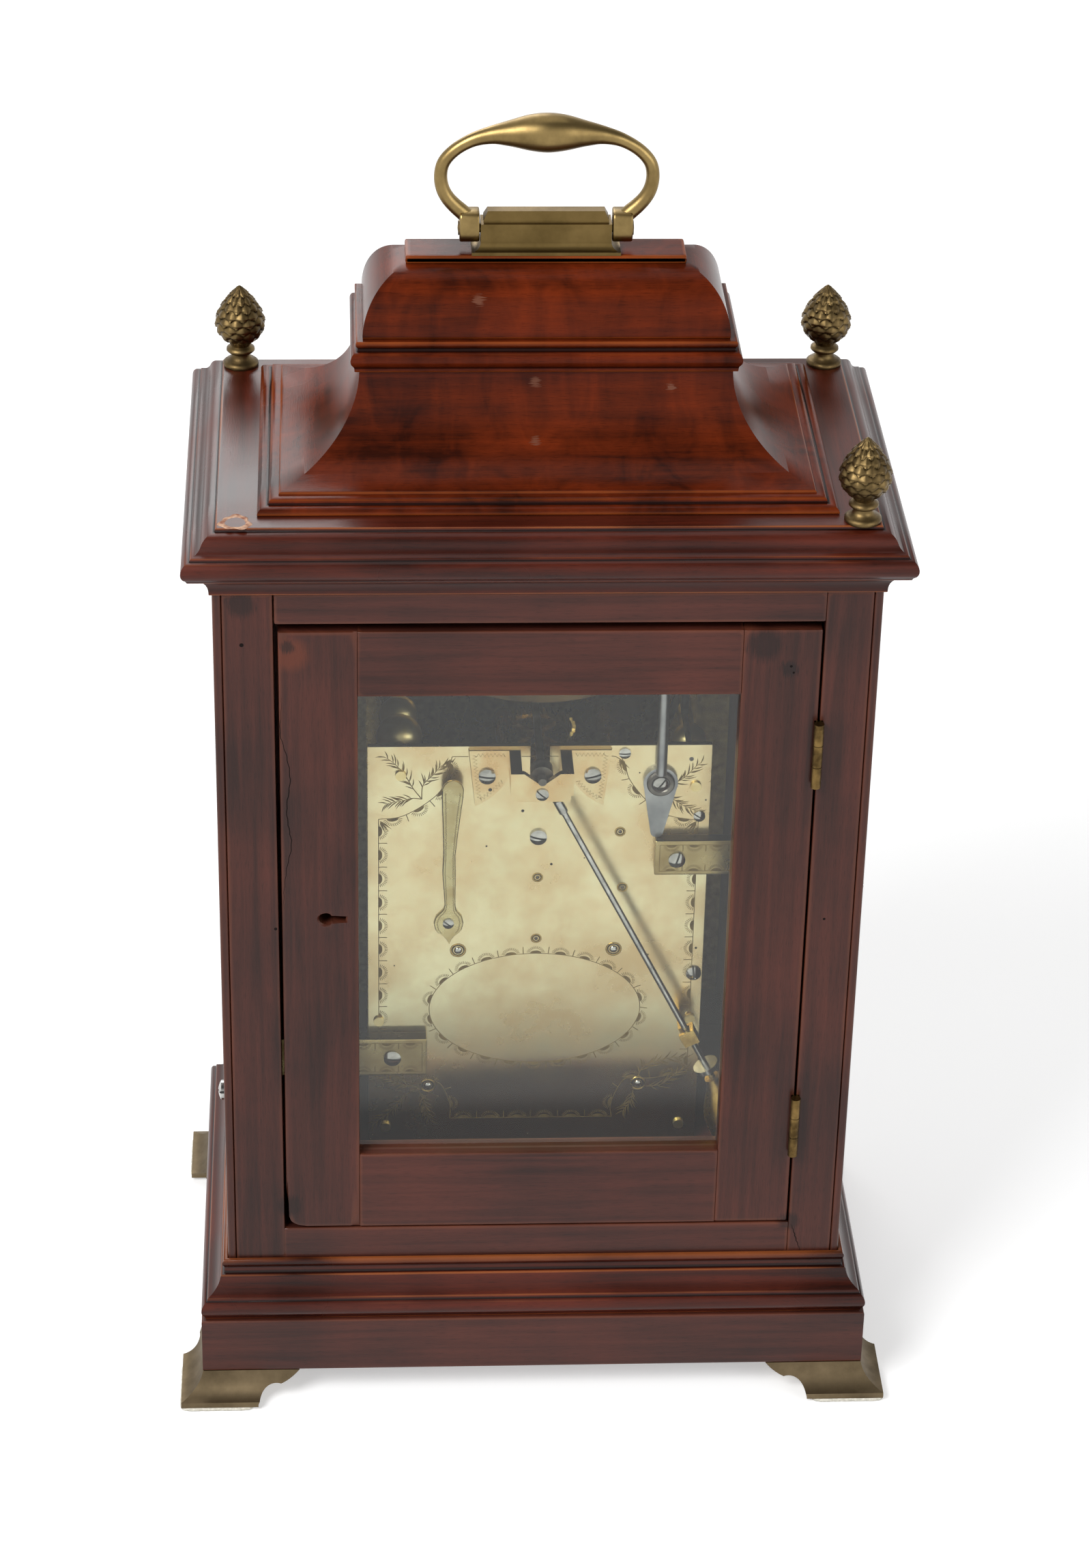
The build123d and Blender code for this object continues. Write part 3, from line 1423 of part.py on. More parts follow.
with BuildPart() as hammer:
    arbor(hammer_axis)
    head_z = gong_z + hammer_above
    face_x = -gong_radius - hammer_gap
    with BuildSketch(Plane((hammer_axis[0], gong_y, hammer_axis[1]))):
        Circle(hammer_rod)
    extrude(amount=head_z - hammer_axis[1])
    with BuildSketch(Plane.YZ.offset(face_x)):
        with Locations((gong_y, head_z)):
            Circle(hammer_head_radius)
    extrude(amount=-hammer_head_length)
    tail_y = pin_wheel_y - wheel_thickness - hammer_pin_length / 2
    tail_turn = mesh_angle(hammer_axis, warning_axis)
    tail_turn += degrees(atan2(tail_clear, spread(hammer_axis, warning_axis)))
    tail_reach = spread(hammer_axis, pin_axis) - pin_circle - hammer_pin_radius - tail_gap
    with BuildSketch(arbor_plane(hammer_axis, tail_y + tail_half, tail_turn)):
        Polygon(
            (-hammer_rod, hammer_rod),
            (-hammer_rod, -hammer_rod),
            (tail_reach, -tail_half),
            (tail_reach, tail_half),
        )
    extrude(amount=2 * tail_half)

# Fittings on the back plate: the back cock has two fan feet, two arms and an apron with a V
vee_foot_z = verge_z - (verge_radius + run_fit) / sin(radians(vee_angle))
vee_half = (cock_top_z - vee_foot_z) * tan(radians(vee_angle))

with BuildPart() as back_cock:
    with BuildSketch(slab(back_plate_y + cheek_thickness)):
        start = (cock_outer, plate_top_z - cheek_waist)
        end = (cheek_reach - cheek_taper, plate_top_z - cheek_drop)
        middle = ((start[0] + end[0]) / 2 - cheek_bulge, (start[1] + end[1]) / 2 - cheek_bulge)
        with BuildLine():
            Polyline(
                end,
                (cheek_reach, cock_top_z),
                (cock_inner, cock_top_z),
                (cock_inner, start[1]),
                start,
            )
            ThreePointArc(start, middle, end)
        make_face()
        mirror(about=Plane.YZ)
    extrude(amount=cheek_thickness)
    for side in (1, -1):
        board(
            sorted((side * cock_inner, side * cock_outer)),
            (back_plate_y, cock_face_y),
            (plate_top_z - cock_arm_drop, cock_top_z),
        )
    with BuildSketch(slab(cock_face_y)):
        Polygon(
            (0, vee_foot_z),
            (vee_half, cock_top_z),
            (cock_outer, cock_top_z),
            (cock_outer - apron_taper, apron_foot_z),
            (apron_taper - cock_outer, apron_foot_z),
            (-cock_outer, cock_top_z),
            (-vee_half, cock_top_z),
            align=None,
        )
    extrude(amount=apron_thickness)
    screw_holes(cheek_screws + apron_screws)

with BuildPart() as steady_brackets:
    for side, height in ((1, left_bracket_z), (-1, right_bracket_z)):
        tongue = bracket_inner + bracket_tongue
        low = height - bracket_height / 2
        high = height + bracket_height / 2
        with BuildSketch(slab(back_plate_y + bracket_thickness)):
            Polygon(
                (side * bracket_inner, height),
                (side * tongue, low),
                (side * inner_half, low),
                (side * inner_half, high),
                (side * tongue, high),
            )
        extrude(amount=bracket_thickness)
        board(
            sorted((side * inner_half, side * (inner_half - bracket_thickness))),
            (back_plate_y, back_plate_y + bracket_flange),
            (low, high),
        )
        with BuildSketch(Plane.YZ.offset(side * inner_half)):
            with Locations((side_screw_y, height - side_screw_drop)):
                Circle(side_screw_radius + run_fit)
        extrude(amount=-side * bracket_thickness, mode=Mode.SUBTRACT)
    screw_holes(bracket_screws)

with BuildPart() as movement_screws:
    for side, height in ((1, left_bracket_z), (-1, right_bracket_z)):
        for start, radius, length in (
            (half_width, side_screw_head_radius, side_screw_head),
            (inner_half - bracket_thickness, side_screw_radius, side_board + bracket_thickness),
        ):
            with BuildSketch(Plane.YZ.offset(side * start)):
                with Locations((side_screw_y, height - side_screw_drop)):
                    Circle(radius)
            extrude(amount=side * length)
    all_screws = cheek_screws + apron_screws + potence_screws + stand_screws + bracket_screws + plate_screws
    for (place, seat, reach), turn in zip(all_screws, screw_turns):
        disc(arbor_plane(place, seat), screw_shank, reach)
        disc(arbor_plane(place, seat + screw_head), screw_head_radius, screw_head)
        with BuildSketch(arbor_plane(place, seat + screw_head, turn)):
            Rectangle(3 * screw_head_radius, screw_slot)
        extrude(amount=screw_slot_depth, mode=Mode.SUBTRACT)

with BuildPart() as backplate_spring:
    tip_z = spring_foot_z + spring_length
    with BuildSketch(slab(back_plate_y)):
        with Locations((spring_x, spring_foot_z)):
            Circle(spring_foot_radius)
        with Locations((spring_x, tip_z - spring_width / 2)):
            Circle(spring_width / 2)
        make_hull()
    extrude(amount=-spring_lift - 2 * spring_thickness)
    with BuildSketch(Plane.YZ):
        with BuildLine():
            flat = spring_foot_z + spring_foot_radius
            foot = (back_plate_y, spring_foot_z - spring_foot_radius)
            outer = back_plate_y + spring_thickness
            Polyline((outer, flat), (outer, foot[1]), foot, (back_plate_y, flat))
            ThreePointArc(
                (back_plate_y, flat),
                (back_plate_y + spring_lift * 0.3, (flat + tip_z) / 2),
                (back_plate_y + spring_lift, tip_z),
            )
            Line((back_plate_y + spring_lift, tip_z), (outer + spring_lift, tip_z))
            ThreePointArc(
                (outer + spring_lift, tip_z),
                (outer + spring_lift * 0.3, (flat + tip_z) / 2),
                (outer, flat),
            )
        make_face()
    extrude(amount=2 * spring_x, mode=Mode.INTERSECT)

# Pendulum: verge arbor with its two pallets, rod, bob and the holdfast that parks it
lean = radians(pendulum_lean)
hang = (-sin(lean), 0, -cos(lean))
across = (cos(lean), 0, -sin(lean))
pivot = (0, pendulum_y, verge_z)


def rod_plane(distance):
    # A plane square to the parked rod, a distance down from the knife edge
    origin = tuple(p + distance * h for p, h in zip(pivot, hang))
    return Plane(origin, x_dir=across, z_dir=hang)


with BuildPart() as verge:
    verge_end = cock_face_y + verge_overhang
    disc(
        arbor_plane((0, verge_z), verge_end),
        verge_radius,
        verge_end - plate_inner_front - arbor_shake,
    )
    disc(arbor_plane((0, verge_z), plate_inner_front + 1), pivot_size, plate_thickness + 1)
    disc(arbor_plane((0, verge_z), pendulum_y + verge_boss_half), verge_boss_radius, 2 * verge_boss_half)
    for place, turn in ((crown_y + crown_radius, pallet_spread), (crown_y - crown_radius, -pallet_spread)):
        with BuildSketch(arbor_plane((0, verge_z), place + pallet_width / 2, turn - pendulum_lean)):
            with Locations((0, -pallet_reach / 2)):
                Rectangle(pallet_thickness, pallet_reach)
        extrude(amount=pallet_width)

with BuildPart() as pendulum_rod:
    with BuildSketch(rod_plane(verge_boss_radius)):
        Circle(rod_radius)
    extrude(amount=rod_end - verge_boss_radius)
    disc(rod_plane(ferrule_place), ferrule_radius, ferrule_length)
    disc(rod_plane(collar_place), collar_radius, 2)

with BuildPart() as pendulum_bob:
    belly = bob_top + bob_length * 0.62
    foot = bob_top + bob_length
    with BuildSketch(Plane(pivot, x_dir=across, z_dir=(0, -1, 0))):
        with BuildLine():
            bore = rod_radius + press_fit
            Polyline((bore, -rod_end), (bore, -bob_top), (bob_neck, -bob_top))
            Spline(
                (bob_neck, -bob_top),
                (bob_radius * 0.62, -bob_top - bob_length * 0.26),
                (bob_radius, -belly),
                (bob_radius * 0.45, -foot),
                tangents=((0.1, -1), (-1, -0.35)),
            )
            Polyline((bob_radius * 0.45, -foot), (0, -foot), (0, -rod_end), (bore, -rod_end))
        make_face()
    revolve(axis=Axis(pivot, hang))

with BuildPart() as pendulum_holdfast:
    play = rod_radius + holdfast_play
    outer = play + holdfast_wall
    with BuildSketch(rod_plane(holdfast_place - holdfast_width / 2)):
        with BuildLine():
            Polyline(
                (outer, play),
                (-play, play),
                (-play, -play),
                (outer, -play),
                (outer, -outer),
                (-outer, -outer),
                (-outer, outer),
                (play, outer),
                (play, pendulum_y - back_plate_y),
                (outer, pendulum_y - back_plate_y),
                close=True,
            )
        make_face()
    extrude(amount=holdfast_width)

pieces = {
    "felt_pads": felt_pads,
    "bracket_feet": bracket_feet,
    "plinth": plinth,
    "base_moulding": base_moulding,
    "case_sides": case_sides,
    "back_stiles": back_stiles,
    "case_rails": case_rails,
    "dial_mask": dial_mask,
    "seat_board": seat_board,
    "cornice": cornice,
    "bell_base_moulding": bell_base_moulding,
    "bell_cove": bell_cove,
    "waist_moulding": waist_moulding,
    "dome": dome,
    "cap_block": cap_block,
    "handle_pedestal": handle_pedestal,
    "handle_bail": handle_bail,
    "finials": finials,
    "rear_door_stiles": rear_door_stiles,
    "rear_door_rails": rear_door_rails,
    "rear_door_glass": rear_door_glass,
    "rear_door_leaves": rear_door_leaves,
    "rear_lock": rear_lock,
    "rear_lock_bolt": rear_lock_bolt,
    "front_door_frame": front_door_frame,
    "front_door_glass": front_door_glass,
    "front_sight_ring": front_sight_ring,
    "front_door_leaves": front_door_leaves,
    "case_hinges": case_hinges,
    "dial": dial,
    "hour_hand": hour_hand,
    "minute_hand": minute_hand,
    "back_plate": back_plate,
    "front_plate": front_plate,
    "plate_pillars": plate_pillars,
    **fusees,
    **barrels,
    "centre_wheel": centre_wheel,
    "contrate_wheel": contrate_wheel,
    "crown_wheel": crown_wheel,
    "potence": potence,
    "pin_wheel": pin_wheel,
    "hoop_wheel": hoop_wheel,
    "warning_wheel": warning_wheel,
    "fly": fly,
    "minute_wheel": minute_wheel,
    "hour_wheel": hour_wheel,
    "strike_bell": strike_bell,
    "bell_stand": bell_stand,
    "hammer": hammer,
    "back_cock": back_cock,
    "steady_brackets": steady_brackets,
    "movement_screws": movement_screws,
    "backplate_spring": backplate_spring,
    "verge": verge,
    "pendulum_rod": pendulum_rod,
    "pendulum_bob": pendulum_bob,
    "pendulum_holdfast": pendulum_holdfast,
}

for name, piece in pieces.items():
    piece.part.label = name
    export_step(piece.part, f"parts/{name}.step")
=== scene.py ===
from math import radians
import bpy
import bmesh
import numpy as np
from mathutils import Matrix, Vector


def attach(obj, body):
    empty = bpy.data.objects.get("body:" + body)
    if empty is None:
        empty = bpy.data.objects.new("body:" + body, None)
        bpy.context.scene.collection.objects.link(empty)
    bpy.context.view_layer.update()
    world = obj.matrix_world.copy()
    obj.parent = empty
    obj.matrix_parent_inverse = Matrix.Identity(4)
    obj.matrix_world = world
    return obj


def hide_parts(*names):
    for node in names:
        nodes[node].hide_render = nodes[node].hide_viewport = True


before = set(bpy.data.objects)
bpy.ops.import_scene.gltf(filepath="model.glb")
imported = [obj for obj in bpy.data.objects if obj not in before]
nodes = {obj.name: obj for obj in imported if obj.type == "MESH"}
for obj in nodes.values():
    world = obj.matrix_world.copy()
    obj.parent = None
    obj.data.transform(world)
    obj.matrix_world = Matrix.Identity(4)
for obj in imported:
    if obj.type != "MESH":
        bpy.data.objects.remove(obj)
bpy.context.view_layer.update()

scene = bpy.context.scene
mm = 0.001
fullTurn = 2 * np.pi
tiny = 1e-9
# boards with another shift take their grain from another place, this much further across than along
acrossShift = 1.7
print("frame loaded:", len(nodes), "nodes")


def hexColour(code):
    # sRGB hex to linear: a channel c above the toe becomes ((c + 0.055) / 1.055) to the power 2.4
    c = np.array([int(code[i:i + 2], 16) for i in (1, 3, 5)]) / 255
    linear = np.where(c <= 0.04045, c / 12.92, ((c + 0.055) / 1.055) ** 2.4)
    return (*linear.tolist(), 1.0)


def addNode(tree, kind, sockets=None, stops=None, **settings):
    # one node with its settings; a socket takes a value or another node's output
    node = tree.nodes.new("ShaderNode" + kind)
    for key, value in settings.items():
        setattr(node, key, value)
    for key, value in (sockets or {}).items():
        if isinstance(value, bpy.types.NodeSocket):
            tree.links.new(value, node.inputs[key])
        else:
            node.inputs[key].default_value = value
    if stops:
        ramp = node.color_ramp.elements
        while len(ramp) < len(stops):
            ramp.new(0.5)
        for element, (place, code) in zip(ramp, stops):
            element.position = place
            element.color = hexColour(code)
    return node


def newMaterial(name):
    # an empty material, its output node and the place of each point in metres
    material = bpy.data.materials.new(name)
    material.use_nodes = True
    tree = material.node_tree
    tree.nodes.clear()
    return material, tree, addNode(tree, "OutputMaterial"), addNode(tree, "TexCoord").outputs["Object"]


def noise(tree, place, scale, detail, **more):
    # lumps of noise, as many to the metre as the scale says, about one half in value
    inputs = {"Vector": place, "Scale": scale, "Detail": detail, **more}
    return addNode(tree, "TexNoise", inputs).outputs["Fac"]


def stretched(tree, place, scale, turn=(0, 0, 0)):
    # the place turned and then multiplied by a scale for each axis
    return addNode(tree, "Mapping", {"Vector": place, "Rotation": turn, "Scale": scale}).outputs[0]


def remap(tree, value, low, high, first, last):
    # a straight line from first at low to last at high, level beyond both
    sockets = {"Value": value, "From Min": low, "From Max": high, "To Min": first, "To Max": last}
    return addNode(tree, "MapRange", sockets).outputs[0]


def maths(tree, operation, *values, **settings):
    # one sum, product or the like of its values
    return addNode(tree, "Math", dict(enumerate(values)), operation=operation, **settings).outputs[0]


def blend(tree, share, first, second, mode="MIX"):
    # the second colour laid over the first by a share
    return addNode(tree, "Mix", {0: share, 6: first, 7: second}, data_type="RGBA", blend_type=mode).outputs[2]


def tones(tree, value, *stops):
    # colours at places along a value, straight between them
    return addNode(tree, "ValToRGB", {"Fac": value}, stops).outputs[0]


def bumped(tree, height, strength, distance):
    # the surface's direction tilted by the slope of a height
    return addNode(tree, "Bump", {"Height": height, "Strength": strength, "Distance": distance}).outputs[0]


def mixShaders(tree, share, first, second):
    # the second surface in place of the first by a share
    return addNode(tree, "MixShader", {0: share, 1: first, 2: second}).outputs[0]


def coated(tree, output, sockets):
    # the one principled surface of a material, joined to its output
    tree.links.new(addNode(tree, "BsdfPrincipled", sockets).outputs[0], output.inputs[0])


def circle(angle, radius=1.0):
    # points at angles round the origin: radius times cosine and sine
    return np.stack([radius * np.cos(angle), radius * np.sin(angle)], 1)


def waves(angle, *terms):
    # a sum of sines by the size, pace and start of each
    return sum(size * np.sin(pace * angle + start) for size, pace, start in terms)


def runOf(points):
    # the length run along a path at each of its points
    return np.append(0, np.cumsum(np.linalg.norm(np.diff(points, axis=0), axis=1)))


def closed(rows):
    # a loop with its first point repeated at its end
    return np.vstack([rows, rows[:1]])


def cells(a):
    # the four neighbours of each cell of a grid, in order round it
    return np.stack([a[:-1, :-1], a[:-1, 1:], a[1:, 1:], a[1:, :-1]], 2).reshape((-1, 4) + a.shape[2:])


def uvGrid(across, along):
    # grain coordinates of a grid: along the grain first, then across it
    return np.dstack(np.meshgrid(across, along))[:, :, ::-1]


def gridPart(points, wrapRows=False, wrapCols=False, caps=False, uv=None, edge=0.0):
    # a grid of points (rows, columns, xyz): each cell of four neighbours is a quad, and
    # caps close the first and last row with a fan to the row's mean point
    rows, cols = points.shape[:2]
    index = np.arange(rows * cols).reshape(rows, cols)
    if uv is None:
        uv = np.zeros((rows + wrapRows, cols + wrapCols, 2))
    if wrapCols:
        index = np.hstack([index, index[:, :1]])
    if wrapRows:
        index = closed(index)
    part = {"v": points.reshape(-1, 3), "q": cells(index), "uq": cells(uv),
            "e": np.broadcast_to(edge, (rows, cols)).reshape(-1),
            "t": np.zeros((0, 3), int), "ut": np.zeros((0, 3, 2))}
    for row in (0, rows - 1) if caps else ():
        ring, ringUv = index[row], uv[row]
        hub = np.full(len(ring) - 1, len(part["v"]))
        middle = np.broadcast_to(ringUv[:-1].mean(0) + (0.01, 0), (len(hub), 2))
        part["v"] = np.vstack([part["v"], points[row].mean(0)])
        part["e"] = np.append(part["e"], 0.0)
        part["t"] = np.vstack([part["t"], np.stack([ring[:-1], ring[1:], hub], 1)])
        part["ut"] = np.vstack([part["ut"], np.stack([ringUv[:-1], ringUv[1:], middle], 1)])
    return part


def placePiece(name, mesh, material, body="case"):
    # an object at the origin with one material, riding its body
    mesh.materials.append(material)
    piece = bpy.data.objects.new(name, mesh)
    scene.collection.objects.link(piece)
    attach(piece, body)
    return piece


def addPiece(name, parts, slot, material, *replaced, body="case", sharp=35):
    # parts in millimetres joined into one mesh in metres, with a grain UV map and an edge mark
    base = np.cumsum([0] + [len(p["v"]) for p in parts])
    faces = [face for kind in ("q", "t") for p, b in zip(parts, base) for face in (p[kind] + b).tolist()]
    mesh = bpy.data.meshes.new(name)
    mesh.from_pydata((np.vstack([p["v"] for p in parts]) * mm).tolist(), [], faces)
    uv = np.vstack([p[kind].reshape(-1, 2) for kind in ("uq", "ut") for p in parts]) * mm
    mesh.uv_layers.new(name="grain").data.foreach_set("uv", uv.ravel())
    mark = mesh.attributes.new("edge", "FLOAT", "POINT")
    mark.data.foreach_set("value", np.concatenate([p["e"] for p in parts]))
    work = bmesh.new()
    work.from_mesh(mesh)
    bmesh.ops.recalc_face_normals(work, faces=work.faces)
    work.to_mesh(mesh)
    work.free()
    mesh.shade_smooth()
    mesh.set_sharp_from_angle(angle=radians(sharp))
    piece = placePiece(name, mesh, material, body)
    if replaced:
        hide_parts(*replaced)
    return piece


def arcThrough(a, b, c, count=16):
    # the circle through three points, swept from a to c by way of b
    centre = np.linalg.solve(2 * np.array([b - a, c - a]), [b @ b - a @ a, c @ c - a @ a])
    start, middle, end = (np.arctan2(*(p - centre)[::-1]) for p in (a, b, c))
    turn = (end - start) % fullTurn
    if (middle - start) % fullTurn > turn:
        turn -= fullTurn
    return centre + circle(start + turn * np.linspace(0, 1, count), np.hypot(*(a - centre)))


def outlineOf(across, foot, rise, steps):
    # an outline by shares of an overhang and of a height: a pair is a point, and two pairs are the arc from
    # the last point through the first pair to the second
    line = np.zeros((0, 2))
    for step in steps:
        row = np.array(step, float) * (across, rise) + (0, foot)
        line = np.vstack([line, arcThrough(line[-1], *row) if row.ndim > 1 else row])
    return line


def softLoop(points, step, passes):
    # a closed outline resampled at even steps of its length, then averaged with its neighbours,
    # which rounds the arrises; the second result is how sharply it turns, outwards positive
    loop = closed(points)
    run = runOf(loop)
    at = np.linspace(0, run[-1], int(run[-1] / step), endpoint=False)
    even = np.stack([np.interp(at, run, loop[:, k]) for k in (0, 1)], 1)
    for _ in range(passes):
        even = (np.roll(even, 1, 0) + 2 * even + np.roll(even, -1, 0)) / 4
    ahead, behind = np.roll(even, -2, 0) - even, even - np.roll(even, 2, 0)
    turn = np.arctan2(behind[:, 0] * ahead[:, 1] - behind[:, 1] * ahead[:, 0], (ahead * behind).sum(1))
    area = (even[:, 0] * np.roll(even[:, 1], -1) - even[:, 1] * np.roll(even[:, 0], -1)).sum()
    turn = turn * np.sign(area)
    return even, (np.roll(turn, 1) + turn + np.roll(turn, -1)) / 3


def mouldedRing(outline, halfX, halfY, step=0.4, passes=3, cuts=6, keen=1.6, sideShift=(370, 90)):
    # a closed section (outset, height) carried round a rectangle and mitred: a point with outset o
    # runs round the corners (+-(halfX + o), +-(halfY + o)); each side takes its grain from another place
    section, turn = softLoop(np.asarray(outline, float), step, passes)
    signs = np.array([(1, 1), (-1, 1), (-1, -1), (1, -1), (1, 1)])
    corner = signs[:, None, :] * np.stack([halfX + section[:, 0], halfY + section[:, 0]], 1)
    share = np.linspace(0, 1, cuts + 1)[:, None, None]
    run = runOf(closed(section))
    rows, uvQuads = [], []
    for side, (near, far) in enumerate(zip(corner[:-1], corner[1:])):
        line = near * (1 - share) + far * share
        rows.append(np.dstack([line, np.broadcast_to(section[:, 1], line.shape[:2])])[:cuts])
        length = np.abs(far - near).sum(1)
        u = (share[:, :, 0] - 0.5) * np.append(length, length[0]) + sideShift[0] * side
        uvQuads.append(cells(np.dstack([u, np.broadcast_to(run + sideShift[1] * side, u.shape)])))
    part = gridPart(np.vstack(rows), wrapRows=True, wrapCols=True, edge=np.clip(turn * keen, -1, 1))
    part["uq"] = np.vstack(uvQuads)
    return part


def boardPart(low, high, grain, arris=0.7, soft=1.4, shift=0.0):
    # a squared board: a rectangle with rounded corners carried along the grain, drawn in at both ends;
    # the edge mark is 1 on the arrises and falls to 0 a little way in from them
    low, high = np.asarray(low, float), np.asarray(high, float)
    across = [k for k in range(3) if k != grain]
    half, middle = (high - low)[across] / 2, (high + low)[across] / 2
    inset = arris + soft
    bend = circle(np.radians([0, 30, 60, 90])) * arris - arris
    quarter = np.vstack([[(half[0], half[1] - inset)], half + bend, [(half[0] - inset, half[1])]])
    signs = ((1, 1), (-1, 1), (-1, -1), (1, -1))
    ring = np.vstack([quarter[::(1 if a * b > 0 else -1)] * (a, b) for a, b in signs])
    ringMark = np.tile([0, 1, 1, 1, 1, 0.0], 4)
    rowMark = np.array([1, 1, 1, 0, 0, 1, 1, 1.0])[:, None]
    ends = np.array([(0, arris), (0.3 * arris, 0.3 * arris), (arris, 0), (inset, 0)])
    along = np.concatenate([low[grain] + ends[:, 0], (high[grain] - ends[:, 0])[::-1]])
    drawn = np.concatenate([ends[:, 1], ends[::-1, 1]])[:, None, None]
    points = np.zeros((len(along), len(ring), 3))
    points[:, :, across] = middle + ring - np.sign(ring) * drawn
    points[:, :, grain] = along[:, None]
    uv = uvGrid(runOf(closed(ring)) + shift * acrossShift, along + shift)
    return gridPart(points, wrapCols=True, caps=True, uv=uv, edge=np.maximum(rowMark, ringMark))


def postPart(section, low, high, step=0.6, passes=3, shift=0.0, rows=9, keen=1.2):
    # a closed section (x, y) with softened arrises carried straight up from low to high
    loop, turn = softLoop(np.asarray(section, float), step, passes)
    heights = np.linspace(low, high, rows)
    points = np.dstack(np.broadcast_arrays(loop[:, 0], loop[:, 1], heights[:, None]))
    uv = uvGrid(runOf(closed(loop)) + shift * acrossShift, heights + shift)
    return gridPart(points, wrapCols=True, caps=True, uv=uv, edge=np.clip(turn * keen, -1, 1))


def turnedPart(profile, centre, axis="Z", count=48, shape=None, ring=False):
    # a profile (radius, height, edge mark) carried round an axis; shape changes the radius and the mark by
    # angle and row, and a ring's profile closes on itself round an open middle
    profile = np.asarray(profile, float)
    angle = np.linspace(0, fullTurn, count, endpoint=False)
    radius, height = (np.repeat(profile[:, k:k + 1], count, 1) for k in (0, 1))
    mark = profile[:, 2:3] if profile.shape[1] > 2 else 0.0
    if shape is not None:
        radius, height, mark = shape(radius, height, angle[None])
    a, b = radius * np.cos(angle), radius * np.sin(angle)
    order = {"Z": (a, b, height), "Y": (a, height, b), "X": (height, a, b)}[axis]
    around = np.linspace(0, fullTurn, count + 1) * np.max(radius)
    uv = np.dstack(np.meshgrid(around, runOf((closed(profile) if ring else profile)[:, :2])))
    return gridPart(np.dstack(order) + np.asarray(centre, float), ring, True, not ring, uv, mark)


def smoothPath(points, count):
    # a path through the points by centripetal Catmull-Rom: each span is a cubic of its four neighbours
    p = np.asarray(points, float)
    p = np.vstack([2 * p[0] - p[1], p, 2 * p[-1] - p[-2]])
    knots = np.append(0, np.cumsum(np.linalg.norm(np.diff(p, axis=0), axis=1) ** 0.5))
    t = np.linspace(knots[1], knots[-2], count)
    k = np.clip(np.searchsorted(knots, t, side="right") - 1, 1, len(p) - 3)

    def mix(a, b, i, j):
        # from a at one knot to b at another
        late = ((t - knots[i]) / (knots[j] - knots[i]))[:, None]
        return (1 - late) * a + late * b

    a1, a2, a3 = (mix(p[k + i], p[k + i + 1], k + i, k + i + 1) for i in (-1, 0, 1))
    return mix(mix(a1, a2, k - 1, k + 1), mix(a2, a3, k, k + 2), k, k + 1)


def tubePart(path, radius, flat=1.0, count=20):
    # a round section carried along a path in a plane square to Y: at each point it lies across the tangent,
    # spanned by Y and the tangent's cross product with it
    path = np.asarray(path, float)
    tangent = np.gradient(path, axis=0)
    tangent /= np.linalg.norm(tangent, axis=1)[:, None]
    other = np.cross(tangent, (0.0, 1.0, 0.0))
    other /= np.linalg.norm(other, axis=1)[:, None]
    first = np.cross(other, tangent)
    angle = np.linspace(0, fullTurn, count, endpoint=False)[:, None]
    radius = np.broadcast_to(radius, len(path))[:, None, None]
    ring = first[:, None] * np.cos(angle) * flat + other[:, None] * np.sin(angle)
    uv = uvGrid(np.linspace(0, fullTurn, count + 1) * np.max(radius), runOf(path))
    return gridPart(path[:, None] + ring * radius, wrapCols=True, caps=True, uv=uv)


def strokesPart(paths, widths, y, lift=0.05, out=1, sunk=0.01):
    # many graver strokes at once on a wall square to Y: paths (m, n, xz), widths (m, n); each stroke is a low
    # three-sided ridge along its path, half its width to each side, closed by a triangle at both ends
    paths = np.asarray(paths, float)
    m, n = paths.shape[:2]
    along = np.gradient(paths, axis=1)
    along /= np.maximum(np.linalg.norm(along, axis=2, keepdims=True), tiny)
    side = np.stack([-along[..., 1], along[..., 0]], 2) * np.broadcast_to(widths, (m, n))[..., None] / 2
    rows = np.stack([paths + side, paths, paths - side], 2)
    level = np.broadcast_to(y + out * np.array([-sunk, lift, -sunk]), (m, n, 3))
    verts = np.stack([rows[..., 0], level, rows[..., 1]], 3).reshape(-1, 3)
    index = np.arange(m * n * 3).reshape(m, n, 3)
    turn = np.roll(index, -1, 2)
    quads = np.stack([index[:, :-1], turn[:, :-1], turn[:, 1:], index[:, 1:]], 3).reshape(-1, 4)
    tris = np.vstack([index[:, 0, ::-1], index[:, -1]])
    return {"v": verts, "q": quads, "t": tris, "uq": np.zeros((len(quads), 4, 2)),
            "ut": np.zeros((len(tris), 3, 2)), "e": np.zeros(len(verts))}


def slottedHead(place, radius, rise, turn, axes, slotWide, slotDeep,
                steps=9, chord=13, fall=0.42, under=0.05):
    # a domed screw head: rows run along the slot and step across it, each row a chord over the dome and
    # back under the head; the two rows between the slot's walls lie at its floor; axes are along, across
    # and out
    half, tilt, last = slotWide / 2, radians(turn), np.pi / 2 - 0.03
    side = radius * np.sin(np.linspace(np.arcsin(half / radius), last, steps))
    v = np.concatenate([-side[::-1], [-half, half], side])[:, None]
    sunk = np.concatenate([np.zeros(steps), [1, 1], np.zeros(steps)])[:, None]
    x = np.sqrt(radius ** 2 - v ** 2) * np.sin(np.linspace(-np.pi / 2, np.pi / 2, chord))
    top = np.where(sunk > 0, rise - slotDeep, rise * (1 - fall * (x ** 2 + v ** 2) / radius ** 2))
    x = np.hstack([x, x[:, ::-1]])
    level = np.hstack([top, np.full_like(top, -under)])
    along, across, outward = np.asarray(axes, float)
    points = (np.asarray(place, float) + (x * np.cos(tilt) - v * np.sin(tilt))[..., None] * along
              + (x * np.sin(tilt) + v * np.cos(tilt))[..., None] * across + level[..., None] * outward)
    return gridPart(points, wrapCols=True, caps=True, edge=-sunk)


# most of a noise lies between these
noiseSpan = (0.3, 0.7)


